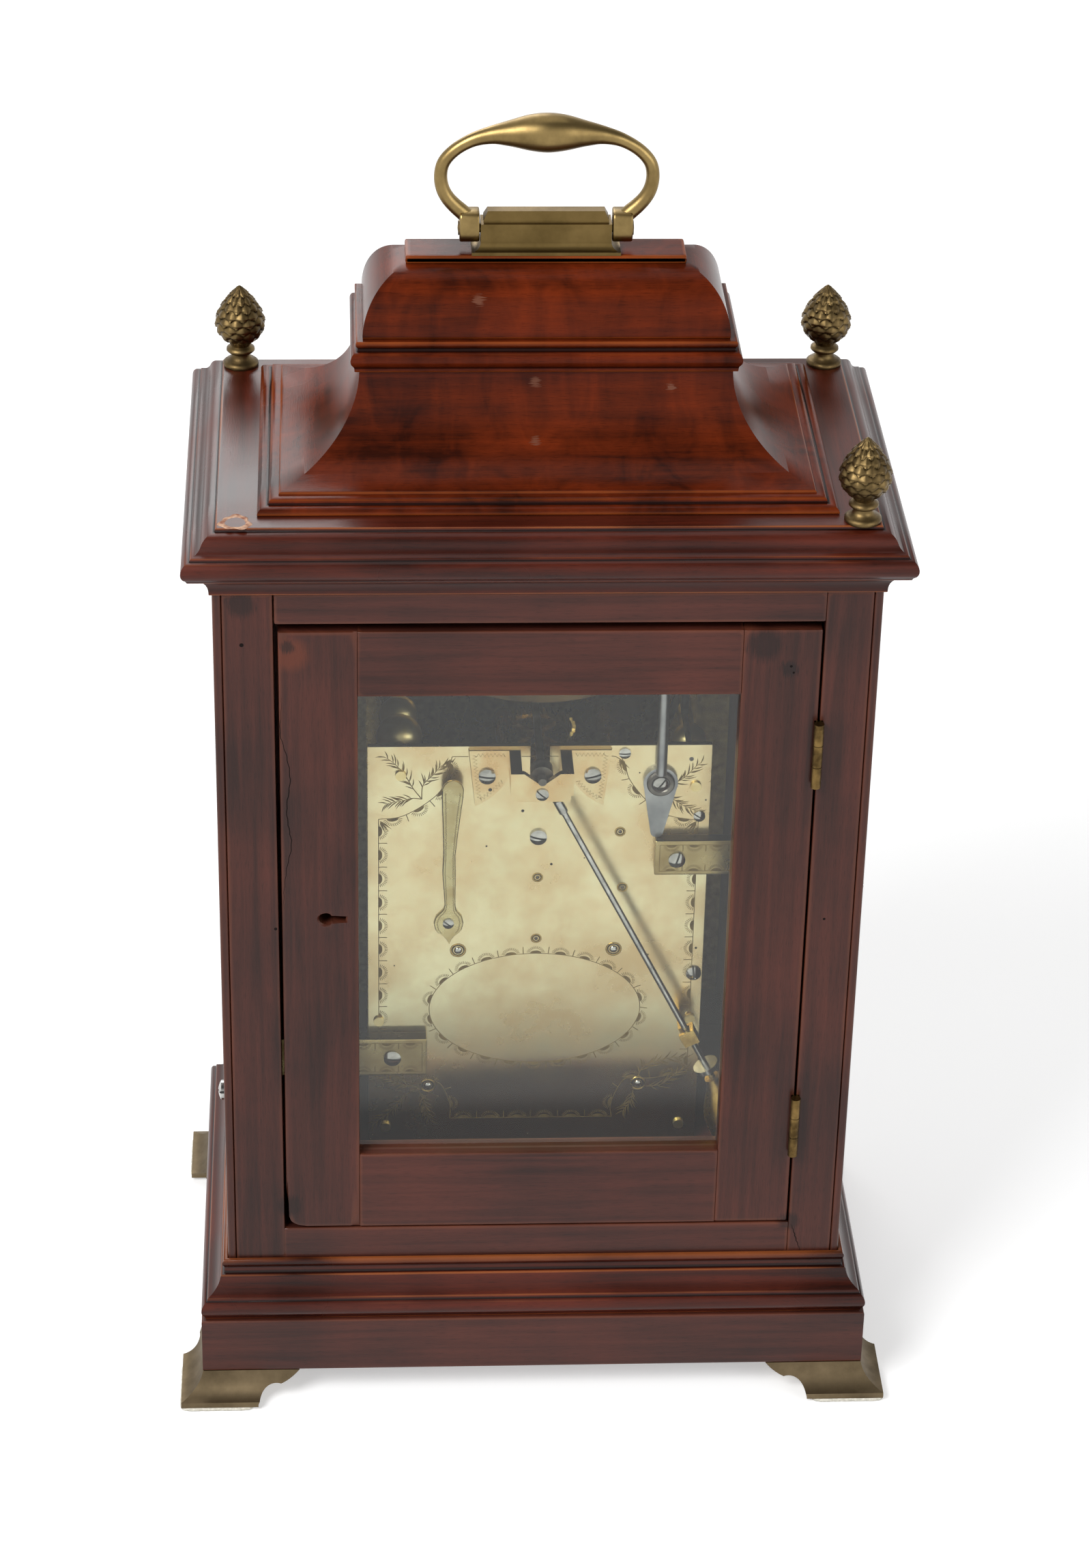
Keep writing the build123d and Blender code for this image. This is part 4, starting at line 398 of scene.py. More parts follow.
def edgeMark(tree):
    # the mark of each point: 1 on an arris, below 0 in a hollow and on a face marked for painted shade
    return addNode(tree, "Attribute", attribute_name="edge").outputs["Fac"]


# marks of the grain to the metre along and across it, spans of noise or mark over which each effect comes in,
# and how strong it is; stains in metres
grain = {
    "streak": (11, 250, 250), "pore": (210, 2600, 2600), "cloud": 16.0, "flame": (85, 85, 16),
    "lean": radians(62),
    "poreSpan": (0.30, 0.45), "poreTone": 0.68, "waxSpan": (-0.55, -0.06), "waxFill": 0.9, "wax": "#120605",
    "ragged": 0.006, "stainCore": 0.55, "stainFill": 0.75, "dulled": 0.14, "bump": (0.10, 0.0003)
}


def mahogany(name, light, dark, rubbedAndHighlight, axis=None, figure=0.0, gloss=0.3, level=0.34, wearAndHighlight=0.6,
             spread=(0.22, 0.66), ramp=0.16, stains=()):
    # old shellacked mahogany: a thin film, sunk and dulled, over red-brown wood with long soft streaks,
    # short dark pores and paler wood where hands have rubbed the arrises, partly a painted highlight there;
    # bell wood keeps more of its shine
    material, tree, output, here = newMaterial(name)
    s = grain
    if axis is None:
        along = addNode(tree, "UVMap", uv_map="grain").outputs["UV"]
    else:
        split = addNode(tree, "SeparateXYZ", {0: here}).outputs
        order = {"X": "XYZ", "Z": "ZXY"}[axis]
        along = addNode(tree, "CombineXYZ", {k: split[order[k]] for k in range(3)}).outputs[0]
    # streaks about 90 mm long and 4 mm wide, pores about 5 mm by 0.4 mm (real ones are finer)
    streak = noise(tree, stretched(tree, along, s["streak"]), 1.0, 5.0, Roughness=0.6, Distortion=0.4)
    pore = noise(tree, stretched(tree, along, s["pore"]), 1.0, 2.0)
    # broad clouds 60 mm across where the polish has sunk or darkened
    cloud = noise(tree, here, s["cloud"], 3.0)
    # flame figure in feathers about 12 mm wide and 60 mm long, lying over towards the grain
    flame = noise(tree, stretched(tree, here, s["flame"], (0, s["lean"], 0)), 1.0, 4.0, Distortion=1.1)
    figured = addNode(tree, "Mix", {"Factor": figure, 2: streak, 3: flame}, data_type="FLOAT").outputs[0]
    tone = maths(tree, "MULTIPLY", maths(tree, "ADD", figured, cloud), 0.5)
    colour = tones(tree, tone, (0.5 - ramp, dark), (0.5 + ramp, light))
    colour = blend(tree, 1.0, colour, remap(tree, pore, *s["poreSpan"], s["poreTone"], 1.0), "MULTIPLY")
    # convex marks show rubbed wood and a painted highlight, broken up by the clouds; hollow ones hold black
    # wax
    mark = edgeMark(tree)
    wear = remap(tree, maths(tree, "MULTIPLY", mark, cloud), *spread, 0.0, wearAndHighlight)
    colour = blend(tree, wear, colour, hexColour(rubbedAndHighlight))
    colour = blend(tree, remap(tree, mark, *s["waxSpan"], s["waxFill"], 0.0), colour, hexColour(s["wax"]))
    # each stain is a cloud-edged spot of old spilt polish or of bare wood about its place, both in
    # millimetres; the pores' noise, one half on the whole, pushes its edge out by half of ragged
    push = s["ragged"] / 2
    for spot, size, stain in stains:
        away = addNode(tree, "VectorMath", {0: here, 1: tuple(v * mm for v in spot)}, operation="DISTANCE")
        ragged = maths(tree, "MULTIPLY_ADD", pore, s["ragged"], away.outputs["Value"])
        amount = remap(tree, ragged, size * s["stainCore"] * mm + push, size * mm + push, s["stainFill"], 0.0)
        colour = blend(tree, amount, colour, hexColour(stain))
    rough = remap(tree, cloud, *noiseSpan, gloss, gloss + s["dulled"])
    coated(tree, output, {"Base Color": colour, "Roughness": rough, "Normal": bumped(tree, pore, *s["bump"]),
                          "Specular IOR Level": level})
    return material


# casting grain about 0.6 mm, dirt in the hollows, and painted shade on faces marked dark
metal = {
    "grain": 1600.0, "reach": 0.16, "dirtAndShadeSpan": (-0.8, -0.05), "dirtAndShadeFill": 0.9, "dulled": 0.12,
    "bump": 0.0002
}


def brass(name, light, dark, rough, spotSize, contrast=1.0, dirtAndShade="#2a2010", grit=0.06):
    # cast or rolled metal: warm, toned by old lacquer and handling, brown where polish never reaches, and
    # darkened as painted shade where a face is marked for it
    material, tree, output, here = newMaterial(name)
    s = metal
    spot = noise(tree, here, 1 / (spotSize * mm), 4.0, Roughness=0.62)
    fine = noise(tree, here, s["grain"], 2.0)
    reach = s["reach"] / contrast
    colour = tones(tree, spot, (0.5 - reach, dark), (0.5 + reach, light))
    # dirt in the hollows, and painted shade on faces marked dark such as a strap's top
    hollow = remap(tree, edgeMark(tree), *s["dirtAndShadeSpan"], s["dirtAndShadeFill"], 0.0)
    blur = remap(tree, spot, *noiseSpan, rough + s["dulled"], rough)
    coated(tree, output, {"Base Color": blend(tree, hollow, colour, hexColour(dirtAndShade)), "Roughness": blur,
                          "Normal": bumped(tree, fine, grit, s["bump"]), "Metallic": 1.0})
    return material


def paneGlass(name):
    # thin hand-made sheet glass: clear, a little grey and wavy, and it lets the light of the room through
    material, tree, output, here = newMaterial(name)
    # waves about 70 mm long, a dusty film in patches of 30 mm
    wave, film = noise(tree, here, 14.0, 1.0), noise(tree, here, 30.0, 4.0)
    glass = addNode(tree, "BsdfPrincipled", {
        "Base Color": tones(tree, film, *zip(noiseSpan, ("#f0f3ee", "#f8faf6"))), "Roughness": 0.0,
        "Transmission Weight": 1.0, "IOR": 1.46, "Normal": bumped(tree, wave, 0.02, 0.001)})
    clear = addNode(tree, "BsdfTransparent", {"Color": (0.93, 0.95, 0.93, 1)})
    shade = addNode(tree, "LightPath").outputs["Is Shadow Ray"]
    tree.links.new(mixShaders(tree, shade, glass.outputs[0], clear.outputs[0]), output.inputs[0])
    return material


def dullCoat(name, light, dark, size, rough=0.9, lump=0.5, sheen=0.0):
    # a dry matt surface in two close tones: pressed wool felt, wax, dust, dried glue or the black of a split
    material, tree, output, here = newMaterial(name)
    fuzz = noise(tree, here, 1 / (size * mm), 3.0)
    coated(tree, output, {"Base Color": tones(tree, fuzz, *zip(noiseSpan, (dark, light))), "Roughness": rough,
                          "Normal": bumped(tree, fuzz, lump, 0.0004), "Specular IOR Level": 0.2,
                          "Sheen Weight": sheen})
    return material


caseTones = ("#50271e", "#2b140f", "#754028")
blackStain, darkStain, redStain = "#140807", "#1a0b08", "#5e2c1a"
caseStains = (
    ((-77, 71, 328), 8, blackStain), ((-86, 71, 318), 4, blackStain), ((91, 71, 325), 8, redStain),
    ((92, 71, 328), 3, blackStain), ((-98, 71, 74), 5, darkStain), ((108, 71, 345), 6, darkStain),
    ((94, 71, 84), 6, darkStain)
)
bellScuffs = (
    ((4, 24.7, 408.5), 2.0, "#6a4434"), ((-44, 25, 406.6), 1.4, "#704a3a"),
    ((4, 33.5, 389.7), 1.8, "#684232"), ((24, 19.7, 437.6), 2.2, "#6c4434")
)
caseWood = mahogany("shellacMahogany", *caseTones, wearAndHighlight=0.4, ramp=0.13, stains=caseStains)
mouldWood = mahogany("shellacMahoganyMoulded", "#541f11", "#260c06", "#9a562a", gloss=0.22, level=0.28,
                     spread=(0.26, 0.54), ramp=0.13)
uprightWood = mahogany("shellacMahoganyUpright", *caseTones, axis="Z")
levelWood = mahogany("shellacMahoganyLevel", *caseTones, axis="X")
bellWood = mahogany("flameMahogany", "#68250c", "#2b0e06", "#90491f", figure=0.5, gloss=0.16, level=0.10,
                    wearAndHighlight=0.55, spread=(0.26, 0.56), ramp=0.11, stains=bellScuffs)
handleBrass = brass("castBrassHandled", "#9c8556", "#73603c", 0.30, 12, 0.7)
pedestalBrass = brass("castBrassPlain", "#7c673f", "#564627", 0.34, 16, 0.6)
footBrass = brass("castBrassAged", "#7c6c53", "#574b38", 0.42, 12, 0.6)
coneBrass = brass("castBrassChased", "#7c6844", "#4b3d27", 0.38, 8, 0.8)
hingeBrass = brass("drawnBrassDark", "#846b40", "#4b3b22", 0.36, 6)
plateBrass = brass("rolledBrassLacquered", "#e2d9b2", "#d6bb8c", 0.18, 24, 0.9, grit=0.02)
pillarBrass = brass("turnedBrassLacquered", "#f2e3ae", "#d9bf80", 0.30, 12, 0.8, grit=0.02)
cockBrass = brass("rolledBrassWarm", "#dccda2", "#cfab78", 0.17, 12, 0.8, grit=0.02)
springBrass = brass("hammeredBrassLeaf", "#cfc698", "#b9a36e", 0.22, 10, 0.8, grit=0.03)
bracketBrass = brass("rolledBrassDull", "#b7a678", "#917c4e", 0.24, 14, 0.8, grit=0.04)
cutBrass = brass("gravenBrass", "#8c7644", "#6e5a34", 0.58, 5, grit=0.2)
workBrass = brass("turnedBrass", "#cdb068", "#8f7036", 0.22, 9)
dialBrass = brass("mattedBrass", "#cdb26a", "#a88a45", 0.45, 4, grit=0.35)
silvered = brass("silveredBrass", "#dcd8cc", "#bdb7a4", 0.34, 14)
bellMetal = brass("castBellMetal", "#5c4a2c", "#2f2617", 0.3, 18)
steel = brass("polishedSteel", "#cccbc8", "#9c9b98", 0.16, 7, dirtAndShade="#141210")
screwSteel = brass("domedSteelScrew", "#c6c5c1", "#8e8d8a", 0.05, 7, dirtAndShade="#0c0b0a", grit=0.02)
standSteel = brass("groundSteel", "#a3a4a6", "#84868a", 0.3, 9, dirtAndShade="#141210")
darkSteel = brass("brownedSteel", "#77736d", "#403c38", 0.32, 7, dirtAndShade="#141210")
bluedSteel = brass("bluedSteel", "#2b3560", "#10142c", 0.22, 8, dirtAndShade="#05060c")
pane = paneGlass("sheetGlass")
felt = dullCoat("pressedFelt", "#e6e2d6", "#c2beb0", 1.1, rough=0.95, lump=0.7, sheen=0.3)
splitBlack = dullCoat("openSplit", "#160a08", "#090403", 3.0)
blackWax = dullCoat("engravingWax", "#16130f", "#0a0806", 2.0, rough=0.6)
oldGlue = dullCoat("driedGlue", "#c9a58a", "#7d4a36", 2.4, rough=0.7, lump=0.9)

# the CAD nodes by finish; any node not named here is turned brass
finishes = (
    (uprightWood, "case_sides back_stiles dial_mask rear_door_stiles front_door_frame"),
    (levelWood, "case_rails seat_board rear_door_rails plinth base_moulding cornice bell_base_moulding"
                " bell_cove"
                " waist_moulding dome cap_block"),
    (hingeBrass, "rear_door_leaves front_door_leaves case_hinges rear_lock"),
    (footBrass, "bracket_feet front_sight_ring"), (pedestalBrass, "handle_pedestal"),
    (handleBrass, "handle_bail"), (coneBrass, "finials"), (steel, "rear_lock_bolt pendulum_rod"),
    (darkSteel, "hammer verge"), (standSteel, "bell_stand"), (pillarBrass, "plate_pillars"),
    (screwSteel, "movement_screws"), (bluedSteel, "hour_hand minute_hand"),
    (pane, "rear_door_glass front_door_glass"), (felt, "felt_pads"), (dialBrass, "dial"),
    (bellMetal, "strike_bell"), (plateBrass, "back_plate backplate_spring"), (cockBrass, "back_cock"),
    (bracketBrass, "steady_brackets"))
nodeFinish = {name: finish for finish, names in finishes for name in names.split()}
for name, node in nodes.items():
    node.data.materials.clear()
    node.data.materials.append(nodeFinish.get(name, workBrass))
print("finishes set")

case = {
    "halfX": 118.0, "halfY": 71.0, "plinthFoot": 13.0, "plinthTop": 37.0, "bodyFoot": 60.0,
    "corniceFoot": 349.0,
    "top": 374.0, "plinthOut": 10.5, "corniceOut": 10.3, "plinthWall": 16.0, "corniceWall": 24.0,
    "crownBoard": 10.0, "corniceBack": 12.0, "sideWall": 12.0, "sideLip": 3.2
}


def plinthOutline(s):
    # a plain square block with its wall behind it
    out, back, foot, top = s["plinthOut"], s["plinthOut"] - s["plinthWall"], s["plinthFoot"], s["plinthTop"]
    return [(out, foot), (out, top), (back, top), (back, foot)]


def baseOutline(s):
    # recess, torus, cavetto, fillet and bead, each at its share of the overhang and of the height
    return outlineOf(s["plinthOut"], s["plinthTop"], s["bodyFoot"] - s["plinthTop"], (
        (0, 1), (0, 0), (0.86, 0), (0.86, 0.06), ((1.0, 0.20), (0.86, 0.34)), (0.78, 0.34), (0.78, 0.40),
        ((0.42, 0.53), (0.28, 0.72)), (0.13, 0.72), (0.13, 0.86), ((0.21, 0.93), (0.13, 1.0))))


def corniceOutline(s):
    # cove, torus nose, ogee and top fillet, and the crown board's flat top running inwards
    wall, back, foot, top = -s["corniceWall"], -s["corniceBack"], s["corniceFoot"], s["top"]
    under = top - s["crownBoard"]
    front = outlineOf(s["corniceOut"], foot, top - foot, (
        (0.10, 0), ((0.25, 0.23), (0.66, 0.34)), (0.80, 0.34), (0.80, 0.38), ((1.0, 0.52), (0.80, 0.66)),
        (0.68, 0.66), (0.68, 0.70), ((0.44, 0.74), (0.30, 0.83)), ((0.13, 0.92), (-0.06, 0.95)),
        (-0.16, 0.95), (-0.16, 1.0)))
    return np.vstack([[(wall, top), (wall, under), (back, under), (back, foot)], front])


for name, outline, node, wood in (("plinthBlock", plinthOutline, "plinth", caseWood),
                                  ("baseMoulding", baseOutline, "base_moulding", mouldWood),
                                  ("corniceMoulding", corniceOutline, "cornice", mouldWood)):
    ring = mouldedRing(outline(case), case["halfX"], case["halfY"])
    addPiece(name, [ring], "mahogany", wood, node)
print("case mouldings made")


def sideSection(s, side):
    # a board with a lip at its rear edge that covers the end of the back stile
    out, back = s["halfX"], s["halfY"]
    inner, lip, step = out - s["sideWall"], out - s["sideLip"], back - s["sideWall"]
    corners = ((inner, -back), (out, -back), (out, back), (lip, back), (lip, step), (inner, step))
    return np.array(corners) * (side, 1)


def wallBoard(s, spanX, spanZ, grain, shift, arris=None):
    # a board of the rear wall between its inner and outer faces, along X or up Z
    low, high = zip(spanX, (s["inner"], s["face"]), spanZ)
    return boardPart(low, high, grain, arris or s["arris"], s["soft"], shift)


foot, top = case["plinthTop"], case["corniceFoot"]
addPiece("caseSides", [postPart(sideSection(case, side), foot, top, shift=40 * side) for side in (1, -1)],
         "mahogany", caseWood, "case_sides")
backBoards = {
    "outer": 114.65, "lockEdge": 96.9, "railEnd": 96.4, "hingeEdge": -98.0, "inner": 59.0, "face": 71.0,
    "topRail": 337.0, "footRail": 73.4, "arris": 0.55, "soft": 1.4, "dropped": 1.0, "rebate": 100.0
}
frontRails = {
    "reach": 106.0, "face": -71.0, "inner": -57.05, "topFoot": 341.0, "footTop": 60.2, "floorBack": -57.0,
    "floorTop": 47.0
}
s, f = backBoards, frontRails
lockStile = wallBoard(s, (s["lockEdge"], s["outer"]), (foot, top), 2, 150)
# the door has dropped on its hinges: the gap at the lock stile closes by about a millimetre at the foot
x, z = lockStile["v"][:, 0], lockStile["v"][:, 2]
x -= np.where(x < s["rebate"], s["dropped"] * (top - z) / (top - foot), 0)
hingeStile = wallBoard(s, (-s["outer"], s["hingeEdge"]), (foot, top), 2, 480)
addPiece("backStiles", [lockStile, hingeStile], "mahogany", caseWood, "back_stiles")
across, reach = (s["hingeEdge"], s["railEnd"]), f["reach"]
addPiece("caseRails", [
    wallBoard(s, across, (s["topRail"], top), 0, 33), wallBoard(s, across, (foot, s["footRail"]), 0, 210),
    boardPart((-reach, f["face"], f["topFoot"]), (reach, f["inner"], top), 0, s["arris"], shift=77),
    boardPart((-reach, f["face"], foot), (reach, f["inner"], f["footTop"]), 0, s["arris"], shift=95),
    boardPart((-reach, f["floorBack"], foot), (reach, s["inner"], f["floorTop"]), 0, s["arris"], shift=300)],
    "mahogany", caseWood, "case_rails")

rearDoor = {
    "left": 95.2, "right": -97.2, "foot": 74.2, "top": 333.8, "glassLeft": 67.2, "glassRight": -69.2,
    "glassFoot": 107.8, "glassTop": 307.8, "inner": 60.5, "face": 71.0, "arris": 0.6, "railArris": 0.25,
    "soft": 1.6, "corner": 7.0
}
keyhole = {
    "at": (77.4, 214.0), "eye": 2.45, "eyeOff": 1.9, "slotReach": 5.6, "slotHalf": 1.25, "ragged": 0.10,
    "rim": 0.6,
    "rimDeep": 0.7, "bearings": 260
}


def keyholeRadius(s, t):
    # the reach from the hole's middle by bearing: the further of a round eye set to one side and a straight
    # slot to the other
    x, z = circle(t).T
    eye = s["eyeOff"] * x + np.sqrt(s["eye"] ** 2 - (s["eyeOff"] * z) ** 2)
    slot = np.minimum(s["slotReach"] / np.maximum(-x, tiny), s["slotHalf"] / np.maximum(np.abs(z), tiny))
    return np.maximum(eye, np.where(x < 0, slot, 0)) + s["ragged"] * np.sin(5 * t + 1)


def keyedStile(s, k):
    # a board pierced by the keyhole: each row is one closed outline by bearing from the hole, from the hole's
    # rear edge to its face, out over the face to the board's outline, round the arris and back along the rear
    middle = np.array(k["at"])
    low, high = np.array([s["glassLeft"], s["foot"]]), np.array([s["left"], s["top"]])
    ends = np.array([low, high]) - middle
    corners = [np.arctan2(z, x) for x in ends[:, 0] for z in ends[:, 1]]
    t = np.sort(np.append(np.linspace(-np.pi, np.pi, k["bearings"], endpoint=False), corners))
    unit = circle(t)

    def outline(inset):
        # by bearing, the reach to the nearer of two sides, and to the round of the lower outer corner
        reach = (np.where(unit > 0, high - middle, middle - low) - inset) / np.maximum(np.abs(unit), tiny)
        p = middle + reach.min(1)[:, None] * unit
        hub = np.array([high[0] - s["corner"], low[1] + s["corner"]])
        away = p - hub
        length = np.maximum(np.linalg.norm(away, axis=1), tiny)[:, None]
        inCorner = (away[:, :1] > 0) & (away[:, 1:] < 0)
        return np.where(inCorner, hub + away / length * (s["corner"] - inset), p)

    hole = keyholeRadius(k, t)[:, None]
    ring, rim = middle + hole * unit, middle + (hole + k["rim"]) * unit
    a, soft, face, rear = s["arris"], s["soft"], s["face"], s["inner"]
    edge, far = outline(0), outline(a + soft)
    rows = [(ring, rear, 0.3), (ring, face - k["rimDeep"], 1.0), (rim, face, 0.9),
            (rim + (far - rim) * 0.06, face, 0.0), (far, face, 0.0), (outline(a), face, 1.0),
            (outline(a * 0.3), face - a * 0.3, 1.0), (edge, face - a, 1.0), (edge, face - a - soft, 0.0),
            (edge, rear + a, 0.6), (outline(a), rear, 0.6)]
    points = np.stack([np.insert(p, 1, y, axis=1) for p, y, _ in rows])
    uv = closed(np.stack([p[:, ::-1] + (900, y - face) for p, y, _ in rows]))
    edge = np.array([[m] for _, _, m in rows])
    return gridPart(points, True, True, uv=np.hstack([uv, uv[:, :1]]), edge=edge)


s = rearDoor
hingeStile = wallBoard(s, (s["right"], s["glassRight"]), (s["foot"], s["top"]), 2, 700)
doorStiles = [keyedStile(s, keyhole), hingeStile]
addPiece("doorStiles", doorStiles, "mahogany", caseWood, "rear_door_stiles", body="rear_door")
across = (s["glassRight"], s["glassLeft"])
addPiece("doorRails", [wallBoard(s, across, span, 0, shift, s["railArris"]) for span, shift in (
    ((s["glassTop"], s["top"]), 820), ((s["foot"], s["glassFoot"]), 1010))],
    "mahogany", caseWood, "rear_door_rails", body="rear_door")
print("case and door boards made")

bell = {
    "half": (102.0, 60.5), "foot": 374.0, "baseRise": 4.6, "baseWide": 7.6, "fillet": 0.8, "inset": 28.5,
    "coveBack": 6.0, "waist": 412.8, "waistRise": 11.4, "step": 3.1, "domeFoot": 424.2, "domeTop": 446.1,
    "domeInset": 16.6, "domeBack": 8.0, "setback": 1.2, "capTop": 449.1, "capOver": 1.4
}


def bellBaseOutline(s):
    # quarter round, fillet and thin bead, at shares of the moulding's width inwards and of its height
    return outlineOf(-s["baseWide"], s["foot"], s["baseRise"], (
        (1.6, 1), (1.6, 0), (0, 0), (0, 0.12), ((0.11, 0.44), (0.42, 0.55)), (0.55, 0.55), (0.55, 0.85),
        (0.72, 1.0)))


def coveOutline(s):
    # a hollow of one circular arc, upright where it meets the waist
    inset, waist, back = s["inset"], s["waist"], -s["inset"] - s["coveBack"]
    rise = waist - (s["foot"] + s["baseRise"] + s["fillet"])
    radius = (inset ** 2 + rise ** 2) / (2 * inset)
    hollow = circle(np.linspace(np.pi + np.arctan2(rise, radius - inset), np.pi, 40), radius)
    return np.vstack([[(back, waist), (back, s["foot"]), (0, s["foot"])], hollow + (radius - inset, waist)])


def waistOutline(s):
    # fillet, torus, groove and bead, at shares of the step inwards and of the height
    return outlineOf(-s["step"], s["waist"], s["waistRise"], (
        (5, 1), (5, 0), (0.45, 0), (0.45, 0.18), ((0, 0.42), (0.45, 0.66)), (0.85, 0.66), (0.85, 0.80),
        (0.60, 0.84), (0.60, 1.0)))


def domeOutline(s):
    # a quarter ellipse rolling in to the cap
    inset, foot, top = s["domeInset"], s["domeFoot"], s["domeTop"]
    roll = (circle(np.linspace(0, np.pi / 2, 32)) - (1, 0)) * (inset, top - foot) + (0, foot)
    return np.vstack([[(-inset - s["domeBack"], top), (-inset - s["domeBack"], foot)], roll])


base = np.array(bell["half"])
cove = base - bell["baseWide"]
waist = cove - bell["inset"] + bell["step"]
dome = waist - bell["step"] - bell["setback"]
cap = dome - bell["domeInset"] + bell["capOver"]
for name, outline, half, node in (("bellBaseMoulding", bellBaseOutline, base, "bell_base_moulding"),
                                  ("bellCove", coveOutline, cove, "bell_cove"),
                                  ("waistMoulding", waistOutline, waist, "waist_moulding"),
                                  ("bellDome", domeOutline, dome, "dome")):
    addPiece(name, [mouldedRing(outline(bell), *half)], "mahogany", bellWood, node)
addPiece("bellCap", [boardPart((*-cap, bell["domeTop"]), (*cap, bell["capTop"]), 0)],
         "mahogany", bellWood, "cap_block")
print("bell top made")

cone = {
    "places": ((-109.5, 64.6), (-109.5, -64.6), (109.5, -64.6)), "foot": 374.0, "height": 32.0, "radius": 9.0,
    "rows": 9, "scales": 11, "depth": 0.9, "eggFoot": 8.2, "eggFrom": 0.06, "eggDraw": 0.72, "eggSwell": 0.85,
    "eggTip": 0.25, "scaleFoot": 8.6, "point": 0.42, "keel": 0.55, "footFade": 14, "tipFade": 6, "swell": 0.8,
    "cleft": 2.6, "sunk": 0.55,
    "turned": (
        (0.5, 0), (6.4, 0), (6.6, 0.5), (6.5, 1.4), (5.6, 2.1), (4.2, 2.8), (3.5, 4.0), (3.5, 4.9),
        (4.6, 5.5), (5.3, 6.2), (5.2, 7.0), (4.3, 7.6), (3.6, 8.2))
}


def coneProfile(s):
    # turned foot, waist and bead, then an egg: radius goes as a sine drawn towards the foot
    t = np.linspace(s["eggFrom"], 1, 72)
    width = s["radius"] * np.sin(np.pi * t ** s["eggDraw"]) ** s["eggSwell"] + s["eggTip"]
    return np.vstack([s["turned"], np.stack([width, s["eggFoot"] + (s["height"] - s["eggFoot"]) * t], 1)])


def petalOf(s, angle, row):
    # 0 at the middle of a scale and 1 at its edge, every other row turned by half a scale
    return np.abs(((angle * s["scales"] / fullTurn + 0.5 * (row % 2)) % 1) - 0.5) * 2


def coneScales(radius, height, angle):
    # overlapping scales: each row rises like a saw from its foot, pointed by the angle, and rows are
    # staggered by half a scale; the third result marks the clefts between them, where dirt lies
    s = cone
    t = np.clip((height - s["scaleFoot"]) / (s["height"] - s["scaleFoot"]), 0, 1)
    row = t * s["rows"]
    k = np.floor(row)
    petal, other = petalOf(s, angle, k), petalOf(s, angle, k + 1)
    climb = row - k + s["point"] * petal
    body = np.where(climb < 1, 1 - climb, 1 - (row - k - 1 + s["point"] * other + s["point"]))
    ridge = 1 - s["keel"] * np.where(climb < 1, petal, other) ** 2
    within = np.clip(t * s["footFade"], 0, 1) * np.clip((1 - t) * s["tipFade"], 0, 1)
    rise = np.clip(body, 0, 1) ** s["swell"] * ridge
    cleft = np.clip(1 - s["cleft"] * rise, 0, 1)
    return radius + (s["depth"] * rise - s["sunk"]) * within, height, -within * cleft


cones = [turnedPart(coneProfile(cone), (x, y, cone["foot"]), count=144, shape=coneScales)
         for x, y in cone["places"]]
addPiece("pineconeFinials", cones, "aged_brass", coneBrass, "finials", sharp=60)
print("finials made")

# half: reach, height and radius along half the bow; strap: the outline of an ear above its hinge;
# faces: depth from an ear's face and the draw there; dome: radius and height of the hinge pin's end
bail = {
    "axis": 456.5, "earIn": 23.4, "earWide": 7.0, "earRadius": 4.9,
    "half": (
        (0, 492, 6.9), (6, 492, 6.3), (13.4, 491.7, 4.5), (19.5, 491.1, 3.2), (26.2, 489.2, 2.45),
        (32.5, 485.3, 2.25), (36.1, 480.9, 2.3), (37.1, 476.2, 2.35), (36.4, 471.4, 2.45),
        (34.6, 467.8, 2.55), (32.0, 464.8, 2.7), (29.4, 462.4, 2.8), (27.2, 460.2, 2.8)),
    "strap": (
        (4.7, 3.0), (4.4, 5.0), (3.9, 6.1), (3.0, 6.7),
        (-3.0, 6.7), (-3.9, 6.1), (-4.4, 5.0), (-4.7, 3.0)),
    "faces": ((0, 0.45), (0.12, 0.2), (0.4, 0.03), (0.8, 0)),
    "dome": ((0.05, -0.3), (1.5, -0.3), (1.5, 0.35), (1.05, 0.6), (0.05, 0.7))
}


def bowPart(s):
    # half the bow by points and radii, mirrored, and a round section carried smoothly through them
    half = np.array(s["half"])
    smooth = smoothPath(np.vstack([half[::-1] * (-1, 1, 1), half[1:]]), 180)
    return tubePart(np.insert(smooth[:, :2], 1, 0, axis=1), smooth[:, 2], count=28)


def earPart(s, side):
    # a strap standing on the hinge axis: half round about it below, narrowing a little to its top, and
    # drawn in at both faces
    radius, wide, near = s["earRadius"], s["earWide"], np.array(s["faces"])
    loop = np.vstack([circle(np.linspace(np.pi, fullTurn, 25), radius), s["strap"]])
    rows = np.vstack([near, near[::-1] * (-1, 1) + (wide, 0)])
    shrink = 1 - rows[:, 1:] / radius
    x = side * s["earIn"] - (wide if side < 0 else 0) + rows[:, :1]
    points = np.broadcast_arrays(x, shrink * loop[:, 0], s["axis"] + shrink * loop[:, 1])
    return gridPart(np.dstack(points), wrapCols=True, caps=True)


def pinPart(s, side):
    # the hinge pin's end, a low dome on the strap's outer face
    profile = np.array(s["dome"])[::side] * (1, side)
    return turnedPart(profile, (side * (s["earIn"] + s["earWide"]), 0, s["axis"]), "X", 24)


handleParts = [bowPart(bail)] + [part(bail, side) for part in (earPart, pinPart) for side in (1, -1)]
addPiece("handleBow", handleParts, "aged_brass", handleBrass, "handle_bail", body="handle")
print("handle made")

# profile: how far the felt is drawn in at each height
pads = {
    "corner": (108.6, 61.6), "half": 14.5, "round": 3.0, "frayed": ((0.10, 23, 0), (0.08, 37, 1)),
    "profile": (
        (0.9, 0.02), (0.35, 0.10), (0.12, 0.38), (0.02, 0.75), (0.12, 1.12), (0.35, 1.40), (0.9, 1.49))
}


